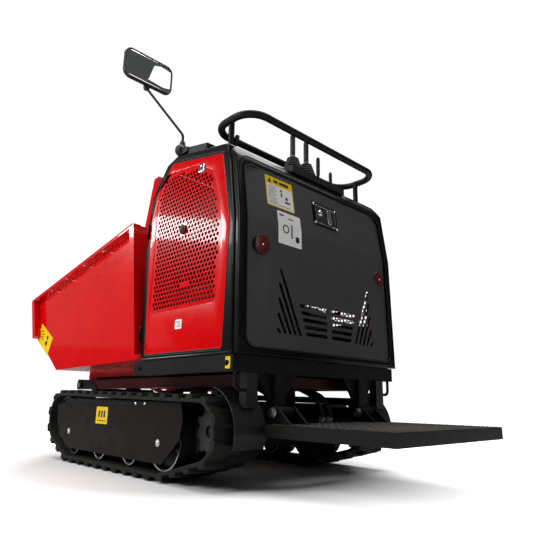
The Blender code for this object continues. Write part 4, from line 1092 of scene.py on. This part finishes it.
def skip_supports(tag, side):
    """Pivot bracket, rubber rest strip and pivot collar on the chassis."""
    bracket = mm(800, 286.5, 800, 300, 860, 327.5, 1000, 332, 1004, 286.5)
    plate = side_sheet((rounded(bracket, 0.006),), side, 0.235, 0.2876, 0.0008)
    add("pivot_bracket_" + tag, plate, BLACK)
    near, far = sorted((side * 0.205, side * 0.236))
    rest = block((near, 0.275, 0.3), (far, 0.86, 0.341))
    add("skip_rest_" + tag, rest, RUBBER, soften=0.002)
    collar = mm(10.5, 0, 20, 0, 21, 1, 21, 8, 10.5, 8)
    ring = lathe(collar, (side * 0.2862, 0.97, 0.307), (side, 0, 0), 32, closed=True)
    add("pivot_collar_" + tag, ring, BLACK)


for tag, side in SIDES:
    skip_notice(tag, side)
    skip_rim(tag, side)
    skip_supports(tag, side)


# ---- cylinder and engine details ----
def cylinder_gland():
    """Gland nut at the mouth of the tip cylinder."""
    start = Vector((0.0, 0.44, 0.16))
    run = (Vector((0.0, 0.84, 0.32)) - start).normalized()
    wall = mm(15.6, 0, 28.5, 0, 29, 2, 29, 18, 24, 24, 15.6, 24)
    gland = lathe(wall, start + run * 0.244, run, 40, closed=True)
    add("cylinder_gland", gland, STEEL, "cylinder_barrel")


def engine_bay():
    """Cooling fins, filler cap, battery posts and hoses inside the body."""
    fins = [block((-0.078, -0.09 + 0.001, 0.58 + 0.014 * i), (0.118, 0.14, 0.5835 + 0.014 * i))
            for i in range(8)]
    add("engine_fins", merged(*fins), CAST, soften=0.001)
    cap = mm(0, 26, 26, 26, 30, 22, 30, 4, 24, 0, 0, 0)
    filler = lathe(cap, (0.0, 0.0, 0.985), (0, 0, 1), 12)
    add("fuel_cap", filler, RED_TRIM, slot="black_plastic")
    post = mm(0, 14, 8, 14, 9, 0, 0, 0)
    posts = [lathe(post, (0.3, y, 0.54), (0, 0, 1), 20) for y in (-0.175, -0.045)]
    add("battery_posts", merged(*posts), STEEL)
    for number, (x, z) in enumerate(((-0.17, 0.47), (-0.18, 0.44), (-0.18, 0.41))):
        bend = [(x, 0.0, z), (x - 0.015, -0.1, z), (x + 0.08, -0.225, z + 0.02),
                (0.2, -0.225, z + 0.04 + 0.03 * number), (0.25, -0.1, z + 0.06)]
        add("bay_hose_%d" % number, tube(rounded_path(bend, 0.05, 8), 0.008), BOOT)


cylinder_gland()
engine_bay()

# ---- looks and soft edges of the carried-over solids ----
for node_name, node in NODES.items():
    for stem, (look, width) in NODE_FINISH.items():
        if node_name.startswith(stem):
            node.data.materials.clear()
            node.data.materials.append(look)
            soften_edges(node, width)

# ---- studio ----
WORLD_LIGHT, WHITE_BACKDROP, GLOW_RANGE, FLOOR_HALF = 0.07, 1.05, (0.6, 1.05), 12
floor = bpy.data.meshes.new("studio_floor")
floor_corners = [(u * FLOOR_HALF, v * FLOOR_HALF, 0) for u, v in ((-1, -1), (1, -1), (1, 1), (-1, 1))]
floor.from_pydata(floor_corners, [], [(0, 1, 2, 3)])
pale = finish("studio_pale", (0.86, 0.86, 0.86), (0.55, 0.6), second=(0.85, 0.85, 0.85), grain=30.0,
              depth=0.0001, strength=0.02)
glow = pale.node_tree.nodes["Principled BSDF"].inputs
glow["Emission Color"].default_value = (1.0, 1.0, 1.0, 1.0)
tree = pale.node_tree
# Painted light: the floor glows for camera rays only, from none within 0.6 m of the scene's origin to full
# at 1.05 m, washing out the machine's cast shadow away from it.
distance = tree.nodes.new("ShaderNodeVectorMath")
distance.operation = "LENGTH"
link(tree, tree.nodes.new("ShaderNodeTexCoord").outputs["Object"], distance.inputs[0])
painted_glow_strength = tree.nodes.new("ShaderNodeMath")
painted_glow_strength.operation = "MULTIPLY"
link(tree, spread(tree, distance.outputs["Value"], 0.0, 1.0, *GLOW_RANGE), painted_glow_strength.inputs[0])
link(tree, tree.nodes.new("ShaderNodeLightPath").outputs["Is Camera Ray"], painted_glow_strength.inputs[1])
link(tree, painted_glow_strength.outputs[0], glow["Emission Strength"])
floor.materials.append(pale)
floor_object = bpy.data.objects.new("studio_floor", floor)
bpy.context.scene.collection.objects.link(floor_object)

world = bpy.data.worlds.new("studio")
world.use_nodes = True
sky = world.node_tree.nodes["Background"]
sky.inputs["Color"].default_value = (1.0, 1.0, 1.0, 1.0)
seen = world.node_tree.nodes.new("ShaderNodeLightPath").outputs["Is Camera Ray"]
brightness = spread(world.node_tree, seen, WORLD_LIGHT, WHITE_BACKDROP, 0.0, 1.0)
link(world.node_tree, brightness, sky.inputs["Strength"])
bpy.context.scene.world = world
bpy.context.scene.view_settings.view_transform = "Standard"

for name, place, aim, (wide, high), power in (
        ("top_light", (0.4, 0.2, 3.6), (0, 0, 0.4), (3.6, 3.6), 200.0),
        ("left_light", (-3.4, 0.5, 2.3), (-0.3, 0.2, 0.7), (1.5, 1.5), 84.0),
        ("rear_light", (0.6, -3.8, 2.0), (0, -0.5, 0.7), (1.8, 1.8), 11.0),
        ("band_light", (-3.4, 4.4, 2.75), (-0.4, 0.0, 0.82), (2.2, 0.35), 60.0),
        ("mirror_card", (1.6, -2.55, 3.6), (1.6, -2.55, 0.0), (1.0, 1.4), 5.0),
        ("skip_light", (-3.6, 7.6, 2.2), (-0.4, 0.9, 0.7), (3.0, 2.0), 4.0)):
    lamp = bpy.data.lights.new(name, "AREA")
    lamp.shape = "RECTANGLE"
    lamp.size = wide
    lamp.size_y = high
    lamp.energy = power
    lamp_object = bpy.data.objects.new(name, lamp)
    lamp_object.location = place
    lamp_object.rotation_euler = (Vector(aim) - Vector(place)).to_track_quat("-Z", "Y").to_euler()
    bpy.context.scene.collection.objects.link(lamp_object)

# ---- camera ----
YAW, PITCH, ROLL = math.radians(43.588), math.radians(14.941), math.radians(0.925)
EYE = Vector((-1.32385, -1.37479, 0.24481))
LENS_LENGTH, LENS_SHIFT = 33.859587242026265, (-0.0012945590994371439, 0.002270168855534671)
ahead = Vector((math.sin(YAW) * math.cos(PITCH), math.cos(YAW) * math.cos(PITCH), math.sin(PITCH)))
level = Vector((math.cos(YAW), -math.sin(YAW), 0.0))
upright = level.cross(ahead)
right = level * math.cos(ROLL) + upright * math.sin(ROLL)
up = upright * math.cos(ROLL) - level * math.sin(ROLL)
lens = bpy.data.cameras.new("camera")
lens.sensor_width = 36.0
lens.lens = LENS_LENGTH
lens.shift_x, lens.shift_y = LENS_SHIFT
camera = bpy.data.objects.new("camera", lens)
facing = Matrix((right, up, -ahead)).transposed().to_4x4()
camera.matrix_world = Matrix.Translation(EYE + DATUM) @ facing
bpy.context.scene.collection.objects.link(camera)
bpy.context.scene.camera = camera
